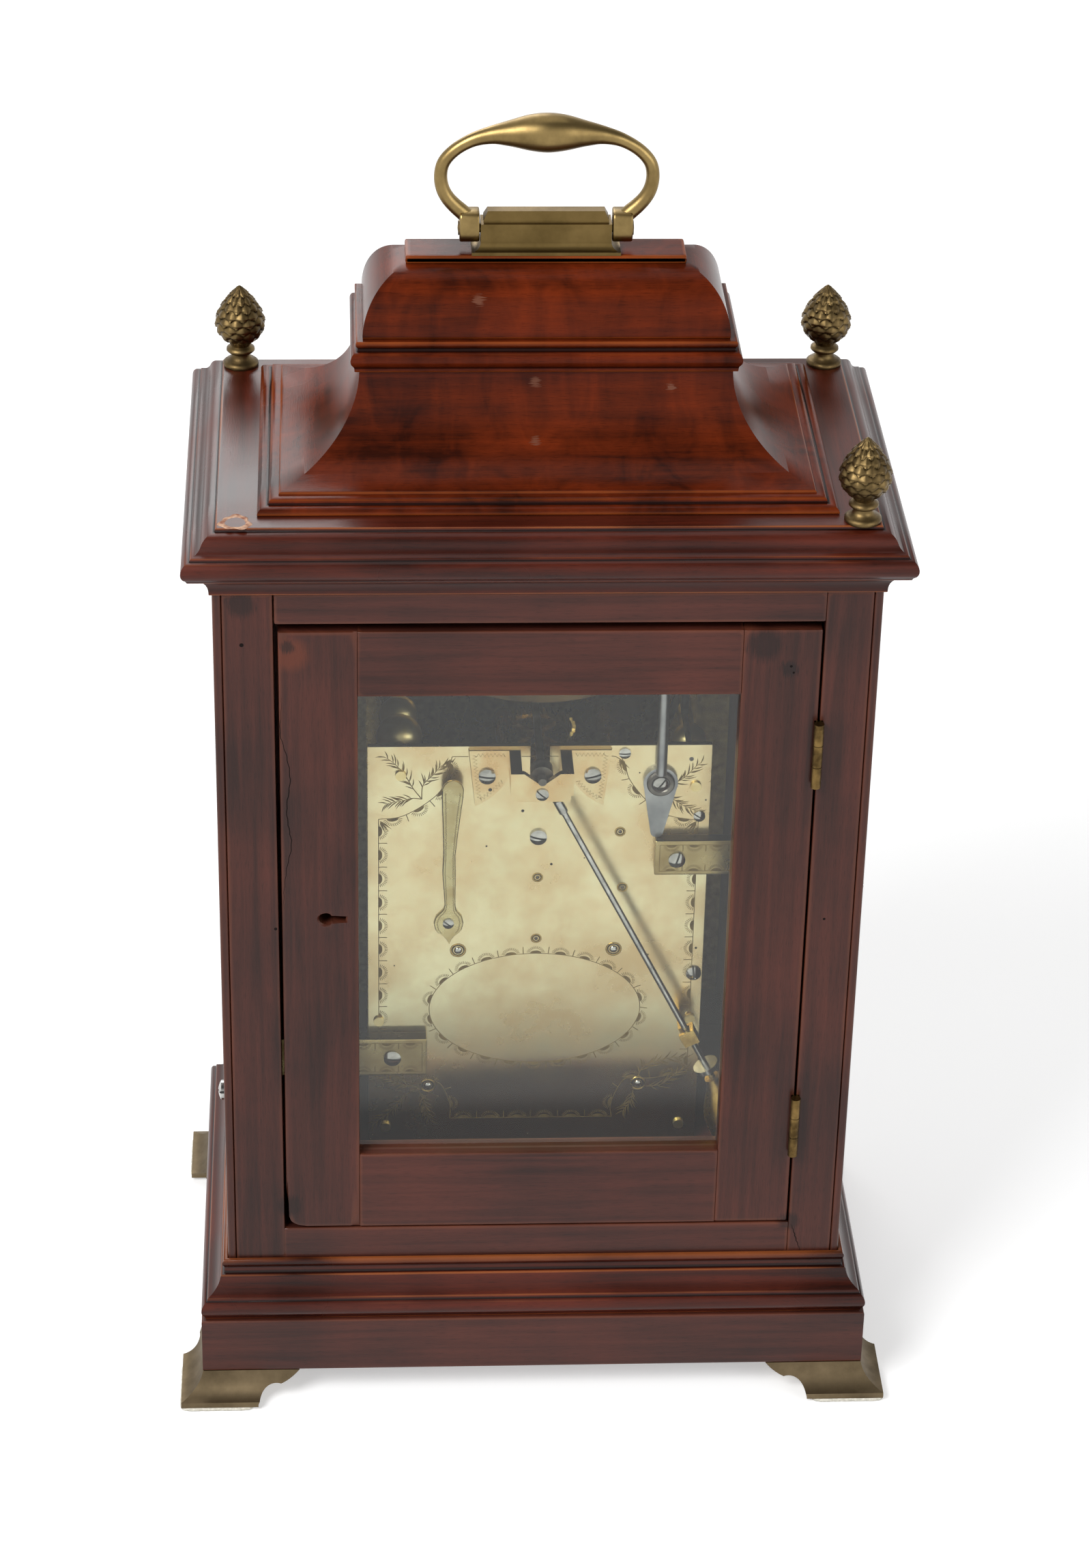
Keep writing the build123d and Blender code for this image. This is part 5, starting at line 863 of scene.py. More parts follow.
def padPart(s, side):
    # pressed felt: a rounded square drawn in at its foot and its top, full at mid height, its cut edge a
    # little uneven
    half, rows = s["half"], np.array(s["profile"])
    t = np.radians(np.add.outer(np.arange(0, 360, 90), [0, 30, 60, 90])).ravel()
    hub = np.repeat(np.array([(1, 1), (-1, 1), (-1, -1), (1, -1)]) * (half - s["round"]), 4, 0)
    loop, _ = softLoop(hub + circle(t, s["round"]), 0.8, 1)
    bearing = np.arctan2(loop[:, 1], loop[:, 0])
    uneven = np.clip(waves(bearing, *s["frayed"]), 0, 1)
    scale = 1 - (rows[:, :1] + uneven) / half
    points = np.dstack(np.broadcast_arrays(loop[:, 0] * scale, loop[:, 1] * scale, rows[:, 1:]))
    middle = (np.array(s["corner"]) + half) * side
    return gridPart(points + (*middle, 0), wrapCols=True, caps=True)


feltPads = addPiece("feltPads", [padPart(pads, (a, b)) for a in (1, -1) for b in (1, -1)],
                    "felt", felt, "felt_pads")
print("felt pads made")

# shape: height, middle and half width; section: side, share drawn in and share of the thickness
leaf = {
    "plate": 36.0, "thick": 1.0, "lift": 4.6, "curl": 1.6, "footTop": 197.0, "top": 255.6, "thin": 0.02,
    "shape": (
        (181.2, 32.9, 0.15), (183.0, 33.0, 0.9), (184.6, 33.1, 2.1), (186.0, 33.2, 3.9), (187.6, 33.2, 5.0),
        (190.5, 33.2, 5.6), (193.2, 33.1, 4.9), (195.0, 33.0, 3.4), (196.4, 32.8, 2.4), (198.5, 32.7, 2.0),
        (205, 32.9, 2.2), (213, 33.2, 2.45), (221, 33.1, 2.2), (230, 32.8, 2.7), (240, 32.5, 3.4),
        (248, 32.2, 3.95), (251.5, 32.1, 4.0), (253.6, 32.1, 3.3), (255.0, 32.1, 2.0), (255.6, 32.1, 0.5)),
    "section": ((-1, 0, 0.02), (-1, 0, 0.7), (-1, 0.3, 1.0), (1, 0.3, 1.0), (1, 0, 0.7), (1, 0, 0.02))
}


def leafLevel(s, z):
    # the leaf's back: flat on the plate at its foot, then curving away from it with a power of the height
    late = np.clip((z - s["footTop"]) / (s["top"] - s["footTop"]), 0, 1)
    return s["plate"] + s["lift"] * late ** s["curl"]


def leafSpan(s, z):
    # the leaf's middle and half width by height, straight between the given ones
    height, *spans = np.array(s["shape"]).T
    return [np.interp(z, height, span) for span in spans]


def leafPart(s):
    # a flat section with eased arrises carried up the leaf's length: centre, half width and level by height
    height, section = np.array(s["shape"])[:, 0], np.array(s["section"])
    z = np.append(np.linspace(height[:-1], height[1:], 4, endpoint=False).T.ravel(), height[-1])[:, None]
    middle, half = leafSpan(s, z)
    reach = np.maximum(half - section[:, 1] * np.minimum(1, half), s["thin"])
    level = leafLevel(s, z) + section[:, 2] * s["thick"]
    points = np.broadcast_arrays(middle + section[:, 0] * reach, level, z)
    return gridPart(np.dstack(points), wrapCols=True, caps=True)


addPiece("leafSpring", [leafPart(leaf)], "plate_brass", springBrass, "backplate_spring")

brackets = {
    "plate": 36.0, "face": 41.0, "outer": 106.0, "flange": 1.8, "flangeSpan": (40.5, 58.0),
    "straps": ((-43.4, 213.7, 228.5), (41.2, 123.9, 140.6)), "arris": 0.35, "soft": 0.6, "dirtAndShade": -0.8,
    "skin": 0.05
}
s = brackets
straps = []
for inner, foot, top in s["straps"]:
    side = np.sign(inner)
    outer = side * s["outer"]
    for x, spanY, along in ((inner, (s["plate"], s["face"]), 0),
                            (outer - side * s["flange"], s["flangeSpan"], 1)):
        low, high = zip(sorted((x, outer)), spanY, (foot, top))
        straps.append(boardPart(low, high, along, s["arris"], s["soft"]))
    # painted shade: the strap's top edge is marked dark, as it mirrors the dark inside of the case
    strap = straps[-2]
    strap["e"] = np.where(strap["v"][:, 2] > top - s["skin"], s["dirtAndShade"], strap["e"])
addPiece("steadyBrackets", straps, "plate_brass", bracketBrass, "steady_brackets")

# plate: place, level it sits on, head radius, rise and the bearing of its slot
screws = {
    "plate": (
        (19.5, 255.6, 38.0, 3.15, 1.6, 6), (-19.5, 255.6, 38.0, 3.15, 1.6, -14),
        (0.0, 257.7, 55.0, 2.4, 1.2, 40), (0.0, 228.0, 36.0, 3.2, 1.7, 12),
        (-44.8, 251.9, 38.0, 2.8, 1.7, -52), (54.4, 132.2, 41.0, 3.3, 1.6, 4),
        (-51.6, 220.6, 41.0, 3.15, 1.7, -72), (-31.3, 263.8, 36.0, 2.2, 1.0, 0),
        (-59.8, 236.5, 36.0, 2.2, 1.2, 30), (-60.3, 166.6, 36.0, 2.9, 1.6, 84),
        (33.3, 190.5, 37.0, 2.1, 1.0, 35)),
    "slotWide": 0.24, "slotDeep": 0.5, "side": ((118.0, 53.0, 126.0), (-118.0, 53.0, 216.0)),
    "sideRadius": 3.8,
    "sideRise": 2.7, "sideTurn": 20, "sideSlot": (1.0, 1.1)
}
s = screws
alongX, alongY, alongZ = np.eye(3)
heads = [slottedHead((x, y, z), r, rise, turn, (alongX, alongZ, alongY),
                     s["slotWide"] * r, s["slotDeep"] * rise)
         for x, z, y, r, rise, turn in s["plate"]]
heads += [slottedHead(place, s["sideRadius"], s["sideRise"], s["sideTurn"],
                      (alongY, alongZ, np.sign(place[0]) * alongX), *s["sideSlot"]) for place in s["side"]]
addPiece("movementScrews", heads, "darkened_steel", screwSteel, "movement_screws")

# lip: share of the sink's width, rise and mark; end: shares of the pivot's radius and of its size
pivots = {
    "face": 36.0, "clear": 0.1, "play": 0.12,
    "large": (
        ("going_fusee", 29.5, 177.7), ("strike_fusee", -29.5, 177.7), ("going_barrel", 40.7, 115.6),
        ("strike_barrel", -40.7, 115.6)),
    "largeSize": 1.6, "largeSink": 3.1,
    "small": (
        ("contrate_wheel", 0, 210), ("minute_arbor", 0, 182.8), ("hoop_wheel", -30.5, 229.8),
        ("pin_wheel", -32, 205.3)),
    "smallSize": 0.8, "smallSink": 2.1,
    "lip": ((0.45, 0.10, -0.6), (0.7, 0.26, 0), (0.9, 0.2, 0), (1, 0.02, -0.3), (1, -0.05, -0.5)),
    "end": ((0.5, 0.46), (0.85, 0.3), (1, 0.1))
}


def sinkPart(s, x, z, inner, outer):
    # an oil sink: a low rounded lip round the pivot hole, dark on its inner slope
    lip = np.array(s["lip"]) * (outer - inner, 1, 1) + (inner, 0, 0)
    section = np.vstack([[(inner + 0.15, -0.05, -1), (inner + 0.2, 0.06, -1)], lip])
    return turnedPart(section, (x, s["face"], z), "Y", 32, ring=True)


def pivotPart(s, x, z, size):
    # the turned end of an arbor, domed
    r = size - s["play"]
    profile = np.vstack([[(0.03, 0.5 * size)], np.array(s["end"]) * (r, size), [(r, 0.01), (0.03, 0.01)]])
    return turnedPart(profile, (x, s["face"], z), "Y", 24)


s = pivots
addPiece("oilSinks", [sinkPart(s, x, z, s[group + "Size"] + s["clear"], s[group + "Sink"])
                      for group in ("large", "small") for _, x, z in s[group]], "plate_brass", workBrass)
for group, finish in (("large", steel), ("small", darkSteel)):
    for body, x, z in s[group]:
        first, second = body.split("_")
        name = first + (second.title() if group == "large" else "Small") + "Pivot"
        addPiece(name, [pivotPart(s, x, z, s[group + "Size"])], "darkened_steel", finish, body=body)
collar = {
    "place": (-44.8, 38.0, 251.9),
    "section": ((3.0, -0.05), (3.0, 0.66), (3.5, 1.1), (4.7, 1.1), (5.2, 0.66), (5.2, -0.05))
}
ring = turnedPart(collar["section"], collar["place"], "Y", 48, ring=True)
addPiece("standCollar", [ring], "darkened_steel", darkSteel)
print("spring, pivots and collar made")

# borders run along the plate's edges and round its corners, with the count of half moons on each; blades: the
# span of a spray's stem they leave, their count and their length
graving = {
    "plate": 36.0, "line": 0.36, "tick": 0.3, "dash": 0.4, "stemWave": 0.25, "stemWide": (0.5, 0.2),
    "bladeBend": 0.28, "bladeLean": 0.62, "bladeWide": (0.12, 0.4, 0.62, 0.5, 0.32, 0.08),
    "blades": ((3, 18, 15, 3.6), (4, 14, 6, 5.0)), "dartRays": (-14, 0, 14), "dartReach": (0.6, 6.0),
    "dartWide": (0.1, 0.5, 0.8, 0.6, 0.3, 0.1), "oval": (0.0, 151.0), "ovalHalf": (40.3, 25.0),
    "ovalMoons": 22, "ovalScale": 0.95,
    "borders": (
        (6, ((-30.8, 100.0), (32.1, 100.0))),
        (11, ((59.5, 121.0), (59.5, 236.0))),
        (11, ((-59.5, 234.4), (-59.5, 121.0))),
        (4, ((59.5, 236), (51.4, 237), (41.2, 243.3), (36.1, 248.9), (33.6, 256.5), (32.4, 262.7))),
        (4, ((-28.1, 262.2), (-31.2, 259.7), (-33, 253.2), (-39.4, 243.9), (-47.2, 237.2), (-59.5, 234.4))),
        (3, ((32.1, 100.1), (31.9, 104.9), (34.2, 113.3), (36.6, 116.9), (45.4, 116.4), (59.5, 122))),
        (3, ((-59.5, 121), (-46, 118), (-35.7, 117.7), (-32.9, 113.5), (-30.3, 105.2), (-30.8, 99.8)))),
    "sprays": (
        ((43.5, 244.6), (46.8, 249.5), (50.5, 256.1), (54.2, 260.4), (57.5, 262.9)),
        ((43.5, 244.6), (48.2, 244.7), (52.8, 243.6), (57, 242)),
        ((43.5, 244.6), (42.6, 251.1), (39.4, 255.4), (36.1, 258.7), (33.1, 259.7)),
        ((-44, 247.1), (-49.5, 250.4), (-55, 254.7), (-60, 259.5)),
        ((-44, 247.1), (-49.8, 243.8), (-54.6, 240.5), (-59.4, 238.2)),
        ((44.4, 114.6), (49.3, 115.8), (54.2, 117.7), (58.6, 120.1)),
        ((44.4, 114.6), (51.2, 108.7), (57.1, 101.6), (62, 96.9)),
        ((44.4, 114.6), (42.4, 108.6), (39.5, 99)),
        ((-39.7, 114), (-43.3, 124.1), (-51, 127), (-59.8, 127.4)),
        ((-39.7, 114), (-48.5, 114.5), (-54.2, 119.2), (-60, 122.7)),
        ((-39.7, 114), (-37.9, 107.5), (-35.2, 101.5))),
    "darts": ((59.2, 235.6), (32.6, 262.0), (-29.0, 261.5), (-59.2, 234.6)),
    "dartTurns": (-125, -60, -120, -55),
    "topLines": (
        ((32.4, 262.7), (29.5, 262.7), (26.4, 262.7)),
        ((-26.4, 262.5), (-27.2, 262.4), (-28.1, 262.2)),
        ((6.8, 262.6), (0, 262.6), (-6.8, 262.6)))
}


def stamped(motif, places, bearings):
    # strokes (m, n, 2) turned by each bearing and set at each place, as one long list of strokes
    c, s = np.cos(bearings), np.sin(bearings)
    turn = np.stack([np.stack([c, s], 1), np.stack([-s, c], 1)], 1)
    moved = np.einsum("mnd,kde->kmne", motif, turn) + np.asarray(places, float)[:, None, None]
    return moved.reshape(-1, motif.shape[1], 2)


def evenSteps(path, count):
    # points at the middles of equal lengths along a path, with the bearing of the path there
    run = runOf(path)
    at = (np.arange(count) + 0.5) / count * run[-1]
    spots, ahead = (np.stack([np.interp(at + step, run, path[:, k]) for k in (0, 1)], 1) for step in (0, 0.2))
    return spots, np.arctan2(*(ahead - spots).T[::-1])


def rays(angles, near, far, count=3):
    # straight strokes from one radius to another at each angle
    return circle(angles)[:, None] * np.linspace(near, far, count)[:, None]


def alternate(count):
    # minus one and one in turn
    return np.where(np.arange(count) % 2, 1, -1)


# a half moon 4.5 mm long and 1.5 mm deep, one stroke as wide as the moon is deep; ticks and dash in mm
moonX = np.linspace(-2.25, 2.25, 11)
moonDeep = 1.5 * np.sqrt(1 - (moonX / 2.26) ** 2)
moonDisc = np.stack([moonX, moonDeep / 2], 1)[None]
moonTicks = rays(np.linspace(0.22, np.pi - 0.22, 13), 2.3, 3.5) * (1.05, 0.98)
gapDash = np.array([[(0, 0.1), (0.05, 1.6), (0, 3.2)]])


def moonBorder(s, y, path, count, scale=1.0):
    # half moons at even steps along a path, on its left hand, a ring of ticks round each and a dash between
    spots, bearings = evenSteps(path, count)
    fine, turns = evenSteps(path, 2 * count)
    gaps = (fine + np.roll(fine, -1, 0)) / 2
    return [strokesPart(stamped(moonDisc * scale, spots, bearings), moonDeep * scale, y),
            strokesPart(stamped(moonTicks * scale, spots, bearings), s["tick"], y),
            strokesPart(stamped(gapDash * scale, gaps[1:-1:2], turns[1:-1:2]), s["dash"], y)]


def leafStrokes(s, path, count, length):
    # short curved strokes leaving a stem to both sides in turn, bent in the middle
    spots, bearings = evenSteps(path, count)
    t = np.linspace(0, 1, 6)
    blade = np.stack([t * length, s["bladeBend"] * length * t * (1 - t)], 1)[None]
    return stamped(blade, spots, bearings + s["bladeLean"] * alternate(count))


s = graving
strokes = []
for count, points in s["borders"]:
    path = np.array(points) if len(points) == 2 else smoothPath(points, 40)
    strokes += moonBorder(s, s["plate"], path, count) + [strokesPart(path[None], s["line"], s["plate"])]
oval = circle(np.linspace(fullTurn, 0, 120)) * s["ovalHalf"] + s["oval"]
strokes += moonBorder(s, s["plate"], oval, s["ovalMoons"], s["ovalScale"])
strokes.append(strokesPart(oval[None], s["line"], s["plate"]))
for points in s["sprays"]:
    stem = smoothPath(points, 18) + s["stemWave"] * np.sin(np.linspace(0, 9, 18))[:, None]
    strokes.append(strokesPart(stem[None], np.linspace(*s["stemWide"], 18), s["plate"]))
    blades = np.vstack([leafStrokes(s, stem[a:b], count, length) for a, b, count, length in s["blades"]])
    strokes.append(strokesPart(blades, s["bladeWide"], s["plate"]))
darts = stamped(rays(np.radians(s["dartRays"]), *s["dartReach"], 6), s["darts"], np.radians(s["dartTurns"]))
strokes.append(strokesPart(darts, s["dartWide"], s["plate"]))
strokes.append(strokesPart(s["topLines"], s["line"], s["plate"]))
addPiece("plateGraving", strokes, "plate_brass", cutBrass)

cockBorder = {
    "face": 38.0, "step": 0.75, "wide": 1.5, "line": 0.26, "rimLine": 0.5,
    "path": ((12.6, 264.4), (24.3, 264.4), (22.3, 245.4), (19.4, 247.4), (16.2, 250.4), (13.6, 253.6)),
    "rim": ((11.5, 255.2), (14.6, 251.2), (18.6, 246.6), (23.7, 242.5), (26.3, 266.2))
}
bracketBorder = {
    "face": 41.0, "line": 0.3, "moons": 5, "scale": 0.85,
    "frames": ((-45.2, -88.0, 226.8, 215.4), (43.0, 88.0, 138.8, 125.6))
}
leafBorder = {
    "span": (186, 250), "count": 120, "line": 0.24, "throw": 0.18, "wide": 3.3, "inset": 1.3, "narrow": 0.62,
    "lift": 0.02
}


def zigzag(path, step, wide):
    # a rocked graver line: points at even steps, thrown to alternate sides of the path
    count = int(runOf(path)[-1] / step)
    spots, bearings = evenSteps(path, count)
    return spots + circle(bearings + np.pi / 2, 0.5 * wide * alternate(count))


def spansOf(line):
    # each straight span of a line as one stroke of three points
    return np.stack([line[:-1], (line[:-1] + line[1:]) / 2, line[1:]], 1)


wriggles, rims = [], []
s = cockBorder
for side in (1, -1):
    path, rim = (np.array(s[key]) * (side, 1) for key in ("path", "rim"))
    rims.append(strokesPart(spansOf(rim), s["rimLine"], graving["plate"]))
    wriggles.append(strokesPart(zigzag(path, s["step"], s["wide"])[None], s["line"], s["face"]))
s = bracketBorder
for x0, x1, top, foot in s["frames"]:
    frameLine = np.array([(x1, top), (x0, top), (x0, foot), (x1, foot)])
    wriggles.append(strokesPart(spansOf(frameLine), s["line"], s["face"]))
    low, high = min(x0, x1), max(x0, x1)
    for path in ([(high, top), (low, top)], [(low, foot), (high, foot)]):
        wriggles += moonBorder(graving, s["face"], np.array(path), s["moons"], s["scale"])
s = leafBorder
height = np.linspace(*s["span"], s["count"])
middle, half = leafSpan(leaf, height)
inside = np.where(half > s["wide"], half - s["inset"], s["narrow"] * half)
level = (leafLevel(leaf, height) + leaf["thick"] + s["lift"])[None, :, None]
for side in (-1, 1):
    rocked = np.stack([middle + side * inside + s["throw"] * alternate(s["count"]), height], 1)
    wriggles.append(strokesPart(rocked[None], s["line"], level))
addPiece("wriggleWork", wriggles, "plate_brass", cutBrass)
addPiece("cockOutline", rims, "plate_brass", cutBrass)


def dotPart(y, x, z, r, rise, flat):
    # a small hole filled with wax or dirt, drawn as a low dark cap
    return turnedPart([(0.02, rise), (r * flat, rise), (r, -0.05), (0.02, -0.05)], (x, y, z), "Y", 16)


holes = {
    36.0: (
        (6.0, 239.2, 0.65), (19.3, 223.9, 0.4), (-62.0, 243.3, 0.35), (-37.0, 255.3, 0.3),
        (-17.4, 218.4, 0.28), (-5.1, 215.8, 0.55), (53.6, 171.0, 0.3), (-42.6, 175.0, 0.4),
        (-60.8, 177.8, 0.5)),
    38.0: ((18.3, 249.6, 0.75),)
}
addPiece("pinHoles", [dotPart(y, *place, 0.04, 0.9) for y, places in holes.items() for place in places],
         "plate_brass", blackWax)
print("engraving made")

marks = {
    "face": 71.0, "thin": 0.08, "wide": 0.5, "lift": 0.02, "wander": ((0.16, 1.9, 0), (0.10, 0.7, 1)),
    "glueWander": ((0.12, 3, 0.4), (0.07, 7, 0)), "glue": (109.3, 64.6, 374.0),
    "doorDots": ((-86.6, 319.1, 0.6), (-87.6, 316.5, 0.5)),
    "doorLine": (
        (94, 307.6), (94.7, 293.1), (91.6, 276.9), (92.9, 258.9), (91.4, 247.2), (93.8, 232.2),
        (94.6, 218.7)),
    "caseLine": ((-99.0, 72.6), (-100.2, 69.2), (-101.6, 64.4), (-103.5, 58.9)),
    "caseDots": ((107.9, 328.9, 0.9), (97.6, 210.2, 0.7), (-104.2, 212.4, 0.6)),
    "glueRows": ((5.6, -0.05, 1), (5.2, 0.22, 1), (3.9, 0.16, 0.3), (3.5, -0.05, 0.3))
}


def splitPart(s, points, count=60):
    # an open split: a line with a small unsteady wander, widest in the middle
    steps = np.arange(count)
    path = smoothPath(points, count)
    path[:, 0] += waves(steps, *s["wander"])
    wide = s["thin"] + s["wide"] * np.sin(np.linspace(0, np.pi, count))
    return strokesPart(path[None], wide, s["face"], lift=s["lift"])


def gluePart(s):
    # the seat of the lost finial: a thin uneven ring of old glue, its edge wandering by a few sines
    angle = np.linspace(0, fullTurn, 60, endpoint=False)
    reach, level, share = np.array(s["glueRows"]).T[:, :, None]
    radius = reach * (1 + share * waves(angle, *s["glueWander"]))
    points = np.broadcast_arrays(radius * np.cos(angle), radius * np.sin(angle), level)
    return gridPart(np.dstack(points) + s["glue"], wrapRows=True, wrapCols=True)


s = marks
for key, body in (("door", "rear_door"), ("case", "case")):
    dots = [dotPart(s["face"], *place, 0.03, 0.8) for place in s[key + "Dots"]]
    addPiece(key + "Splits", [splitPart(s, s[key + "Line"])] + dots, "mahogany", splitBlack, body=body)
addPiece("finialGlue", [gluePart(marks)], "mahogany", oldGlue)
print("wear made")

face = {
    "level": -46.5, "rise": 1.3, "ease": 0.3, "centre": (0.0, 182.8), "inner": 48.5, "outer": 70.0,
    "line": 0.3,
    "numeralAt": 57.6, "numeral": 11.5, "narrow": (0.78, 1.12, 1, 1), "relief": 0.06, "track": (65.6, 67.8),
    "quarters": (49.1, 50.9), "minuteLines": (0.7, 0.28), "boss": (0.0, 279.0), "bossInner": 3.0,
    "bossOuter": 22.0, "bossTrack": (17.2, 20.4), "bossLine": 16.4, "diamond": (-1.6, -0.8, 0, 0.8, 1.6),
    "diamondWide": (0.05, 0.7, 1.3, 0.7, 0.05), "corners": (62.0, 63.5)
}
s = face
front, hub, boss = s["level"] - s["rise"], np.array(s["centre"]), np.array(s["boss"])


def discRing(s, place, inner, outer):
    # a flat ring with eased edges, standing off the dial by its rise
    top, ease = -s["rise"], s["ease"]
    section = [(inner, 0.05), (inner, top + ease), (inner + ease, top),
               (outer - ease, top), (outer, top + ease), (outer, 0.05)]
    return turnedPart(section, (place[0], s["level"], place[1]), "Y", 120, ring=True)


def dialStrokes(paths, wide=face["line"]):
    # strokes on the front of the silvered rings, which faces away from the back plate
    return strokesPart(paths, wide, front, out=-1)


def tracks(place, count, radii):
    # straight strokes between two circles at even angles, and the two circles themselves
    rounds = [dialStrokes(circle(np.linspace(0, fullTurn, 121), r)[None] + place) for r in radii]
    return rays(np.linspace(0, fullTurn, count, endpoint=False), *radii) + place, rounds


addPiece("chapterRing", [discRing(s, hub, s["inner"], s["outer"]),
                         discRing(s, boss, s["bossInner"], s["bossOuter"])],
         "dial_brass", silvered)
minutes, minuteRounds = tracks(hub, 60, s["track"])
quarters, quarterRounds = tracks(hub, 48, s["quarters"])
bossLines, bossRounds = tracks(boss, 24, s["bossTrack"])
bossRounds.append(dialStrokes(circle(np.linspace(0, fullTurn, 121), s["bossLine"])[None] + boss))
between = np.radians(15 + 30 * np.arange(12))
halves = np.array([[(0, z) for z in s["diamond"]]])
diamonds = stamped(halves, circle(between, s["numeralAt"]) + hub, between - np.pi / 2)
minuteWide = np.where(np.arange(60) % 5 == 0, *s["minuteLines"])[:, None]
dialLines = [dialStrokes(minutes, minuteWide), dialStrokes(quarters),
             *minuteRounds, *quarterRounds, *bossRounds,
             dialStrokes(bossLines), dialStrokes(diamonds, s["diamondWide"])]
addPiece("dialLines", dialLines, "dial_brass", blackWax)


def numeralMesh(s, name):
    # twelve Roman hours: each text is made a mesh, narrowed, lifted to its radius, turned clockwise by its
    # hour and stood upright on the ring
    joined = bmesh.new()
    stand = Matrix.Translation(Vector((hub[0], front, hub[1])) * mm) @ Matrix.Rotation(radians(90), 4, "X")
    lift = Matrix.Translation((0, s["numeralAt"] * mm, 0)) @ Matrix.Diagonal(s["narrow"])
    for hour, word in enumerate("XII I II III IIII V VI VII VIII IX X XI".split()):
        curve = bpy.data.curves.new("hour" + word, "FONT")
        curve.body = word
        curve.size = s["numeral"] * mm
        curve.align_x = curve.align_y = "CENTER"
        curve.extrude = s["relief"] * mm
        holder = bpy.data.objects.new("hour" + word, curve)
        scene.collection.objects.link(holder)
        bpy.context.view_layer.update()
        flat = bpy.data.meshes.new_from_object(holder.evaluated_get(bpy.context.evaluated_depsgraph_get()))
        flat.transform(stand @ Matrix.Rotation(radians(-30 * hour), 4, "Z") @ lift)
        joined.from_mesh(flat)
        bpy.data.objects.remove(holder)
        bpy.data.meshes.remove(flat)
    bmesh.ops.remove_doubles(joined, verts=joined.verts, dist=1e-6)
    bmesh.ops.recalc_face_normals(joined, faces=joined.faces)
    mesh = bpy.data.meshes.new(name)
    joined.to_mesh(mesh)
    joined.free()
    return mesh


placePiece("hourNumerals", numeralMesh(face, "hourNumerals"), blackWax)

# scrolls: turns and first bearing; petals: bearing in degrees and length
spandrel = {
    "scrolls": ((1.3, 2.6), (-1.3, 5.2)), "grow": 7.0, "thick": 1.2, "scrollLift": 0.5, "scrollFlat": 0.8,
    "petals": ((20, 10.5), (45, 10.5), (70, 10.5), (-70, 15.0), (160, 15.0)), "bend": 0.35, "petalLift": 0.4,
    "petalFlat": 0.55
}


def onDial(side, steps, lift):
    # a path of steps from a corner ornament's eye, mirrored to its corner and laid on the dial
    x, z = ((steps + face["corners"]) * side).T
    return np.stack([x, np.full(len(x), face["level"] - lift), hub[1] + z], 1)


def scrollPart(s, side, turnsBy, start):
    # a cast scroll: a round section along a spiral whose radius shrinks evenly, thinning to its end
    t = np.linspace(0, 1, 60)
    steps = circle(start + turnsBy * fullTurn * t, s["grow"] * (1 - 0.85 * t))
    route = onDial(side, steps, s["scrollLift"])
    return tubePart(route, s["thick"] * (1 - 0.6 * t), flat=s["scrollFlat"], count=10)


def petalPart(s, side, bearing, length):
    # a cast leaf: a tapering ridge from the scroll's eye out along its bearing, bent a little
    t = np.linspace(0, 1, 24)
    steps = circle(radians(bearing) + s["bend"] * t, length * t)
    radius = 0.25 + 1.9 * np.sin(np.pi * (0.08 + 0.9 * t)) ** 1.2
    return tubePart(onDial(side, steps, s["petalLift"]), radius, flat=s["petalFlat"], count=10)


ornaments = []
for side in ((1, 1), (1, -1), (-1, 1), (-1, -1)):
    ornaments += [scrollPart(spandrel, side, *scroll) for scroll in spandrel["scrolls"]]
    ornaments += [petalPart(spandrel, side, *petal) for petal in spandrel["petals"]]
addPiece("cornerOrnaments", ornaments, "dial_brass", workBrass)
print("dial made")

# lamps: place, aim, size and power; shadowBand: the tone of the paper by its distance behind the clock in
# metres, a painted shadow seen only where the plate mirrors the paper through the pane
studio = {
    "floorReach": 6.0, "air": 0.30, "overhead": 0.10, "mirrored": 1.15, "glow": 0.44, "paper": 0.8,
    "shadowBand": ((0.060, "#ffffff"), (0.065, "#3a3a3a"), (0.240, "#3a3a3a"), (0.256, "#ffffff")),
    "lamps": {
        "keyBox": ((1.3, 1.3, 1.9), (0, 0, 0.25), 1.1, 55.0),
        "fillBox": ((-1.7, 1.5, 1.1), (0, 0, 0.2), 1.4, 15.0),
        "topBox": ((0.1, -0.5, 2.2), (0, 0, 0.3), 1.4, 6.0),
        "rimBox": ((0.5, -1.8, 1.55), (0, 0, 0.38), 1.2, 17.0)}
}
s = studio
whiteLight = (1, 1, 1, 1)
reach = s["floorReach"]
floorMesh = bpy.data.meshes.new("studioFloor")
corners = [(-reach, -reach, 0), (reach, -reach, 0), (reach, reach, 0), (-reach, reach, 0)]
floorMesh.from_pydata(corners, [], [(0, 1, 2, 3)])
floor = bpy.data.objects.new("studioFloor", floorMesh)
scene.collection.objects.link(floor)
floorPaper, tree, output, here = newMaterial("whitePaperFloor")
path = addNode(tree, "LightPath").outputs
shade = addNode(tree, "BsdfDiffuse", {"Color": hexColour("#d9d9d9")}).outputs[0]
glow = addNode(tree, "Emission", {"Color": whiteLight, "Strength": s["glow"]}).outputs[0]
# painted shadow: the paper close behind the clock is dark only where the plate mirrors it through the pane,
# standing in for the clock's own shadow there
behind = addNode(tree, "SeparateXYZ", {0: here}).outputs[1]
through = maths(tree, "MULTIPLY", path["Glossy Depth"], path["Is Transmission Ray"], use_clamp=True)
shadowedPaper = blend(tree, through, whiteLight, tones(tree, behind, *s["shadowBand"]))
white = addNode(tree, "Emission", {"Color": shadowedPaper, "Strength": s["mirrored"]}).outputs[0]
glowing = addNode(tree, "AddShader", {0: shade, 1: glow}).outputs[0]
seen = mixShaders(tree, path["Is Camera Ray"], shade, glowing)
bent = maths(tree, "MAXIMUM", path["Is Glossy Ray"], path["Is Transmission Ray"])
seen = mixShaders(tree, bent, seen, white)
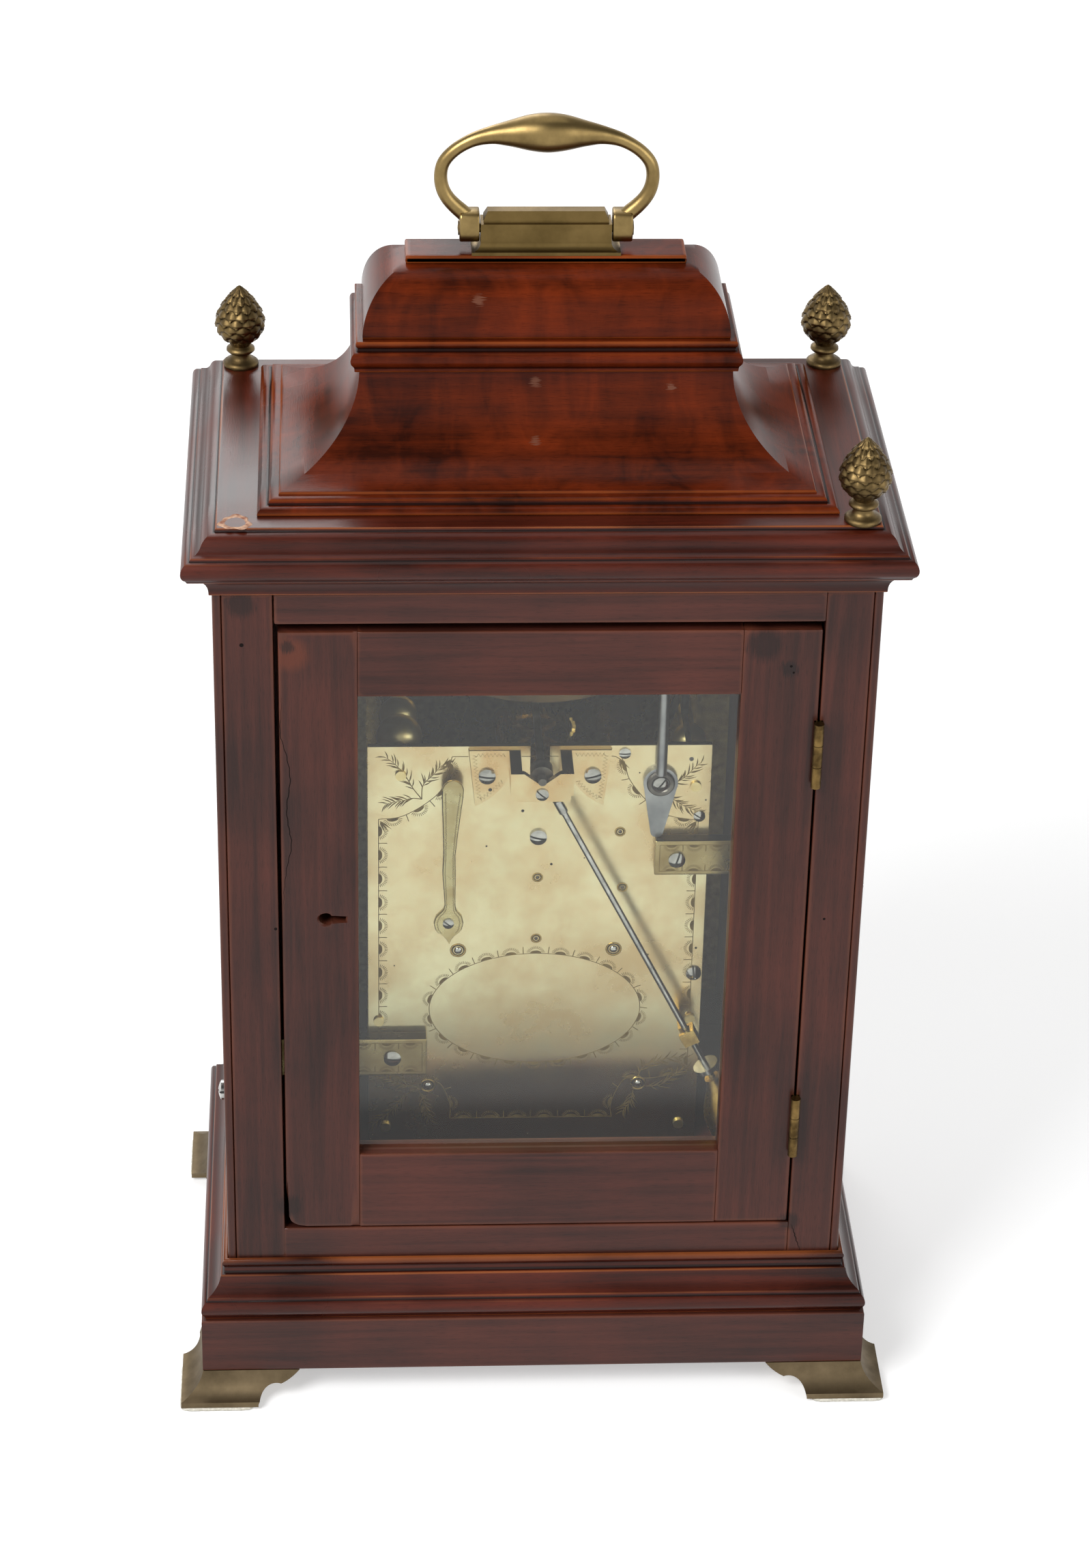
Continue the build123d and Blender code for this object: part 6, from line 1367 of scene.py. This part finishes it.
# beyond the shadow the paper runs out into the white of the room
away = addNode(tree, "VectorMath", {0: here}, operation="LENGTH").outputs["Value"]
fade = remap(tree, away, s["paper"], 2 * s["paper"], 0.0, 1.0)
seen = mixShaders(tree, maths(tree, "MULTIPLY", fade, path["Is Camera Ray"]), seen, white)
tree.links.new(seen, output.inputs[0])
floorMesh.materials.append(floorPaper)

# the air is white to the camera, dimmer as light, and dark overhead in mirrored rays
world = bpy.data.worlds.new("studioAir")
scene.world = world
world.use_nodes = True
tree = world.node_tree
tree.nodes.clear()
output = addNode(tree, "OutputWorld")
path = addNode(tree, "LightPath").outputs
upward = addNode(tree, "SeparateXYZ", {0: addNode(tree, "TexCoord").outputs["Generated"]}).outputs[2]
ceiling = remap(tree, upward, 0.40, 0.80, 1.0, s["overhead"])
direct = maths(tree, "MAXIMUM", path["Is Camera Ray"], path["Is Transmission Ray"])
plain = remap(tree, direct, 0.0, 1.0, s["air"], 1.0)
strength = addNode(
    tree, "Mix", {0: path["Is Glossy Ray"], 2: plain, 3: ceiling}, data_type="FLOAT").outputs[0]
air = addNode(tree, "Background", {"Color": whiteLight, "Strength": strength})
tree.links.new(air.outputs[0], output.inputs[0])


def softbox(name, place, aim, size, power):
    # a square lamp at a place, its face turned to the point it aims at
    lamp = bpy.data.lights.new(name, "AREA")
    lamp.shape = "SQUARE"
    lamp.size = size
    lamp.energy = power
    box = bpy.data.objects.new(name, lamp)
    box.location = place
    box.rotation_euler = (Vector(aim) - Vector(place)).to_track_quat("-Z", "Y").to_euler()
    scene.collection.objects.link(box)


for name, lamp in studio["lamps"].items():
    softbox(name, *lamp)

eye = {
    "place": (74.1, 1323.2, 1020.2), "yaw": -0.05897, "pitch": 0.53828, "roll": -0.0229, "lens": 93.25,
    "sensor": 36.0, "clip": (0.05, 30.0)
}
a, b, c = eye["yaw"], eye["pitch"], eye["roll"]
forward = np.array([np.sin(a) * np.cos(b), -np.cos(a) * np.cos(b), -np.sin(b)])
right = np.cross(forward, (0, 0, 1))
right /= np.linalg.norm(right)
down = np.cross(forward, right)
camX = np.cos(c) * right + np.sin(c) * down
camY = np.sin(c) * right - np.cos(c) * down
lens = bpy.data.cameras.new("studioCamera")
lens.lens = eye["lens"]
lens.sensor_width = eye["sensor"]
lens.clip_start, lens.clip_end = eye["clip"]
camera = bpy.data.objects.new("studioCamera", lens)
turned = Matrix(np.stack([camX, camY, -forward], 1).tolist()).to_4x4()
camera.matrix_world = Matrix.Translation(Vector(eye["place"]) * mm) @ turned
scene.collection.objects.link(camera)
scene.camera = camera
scene.view_settings.view_transform = "Standard"
print("studio set")
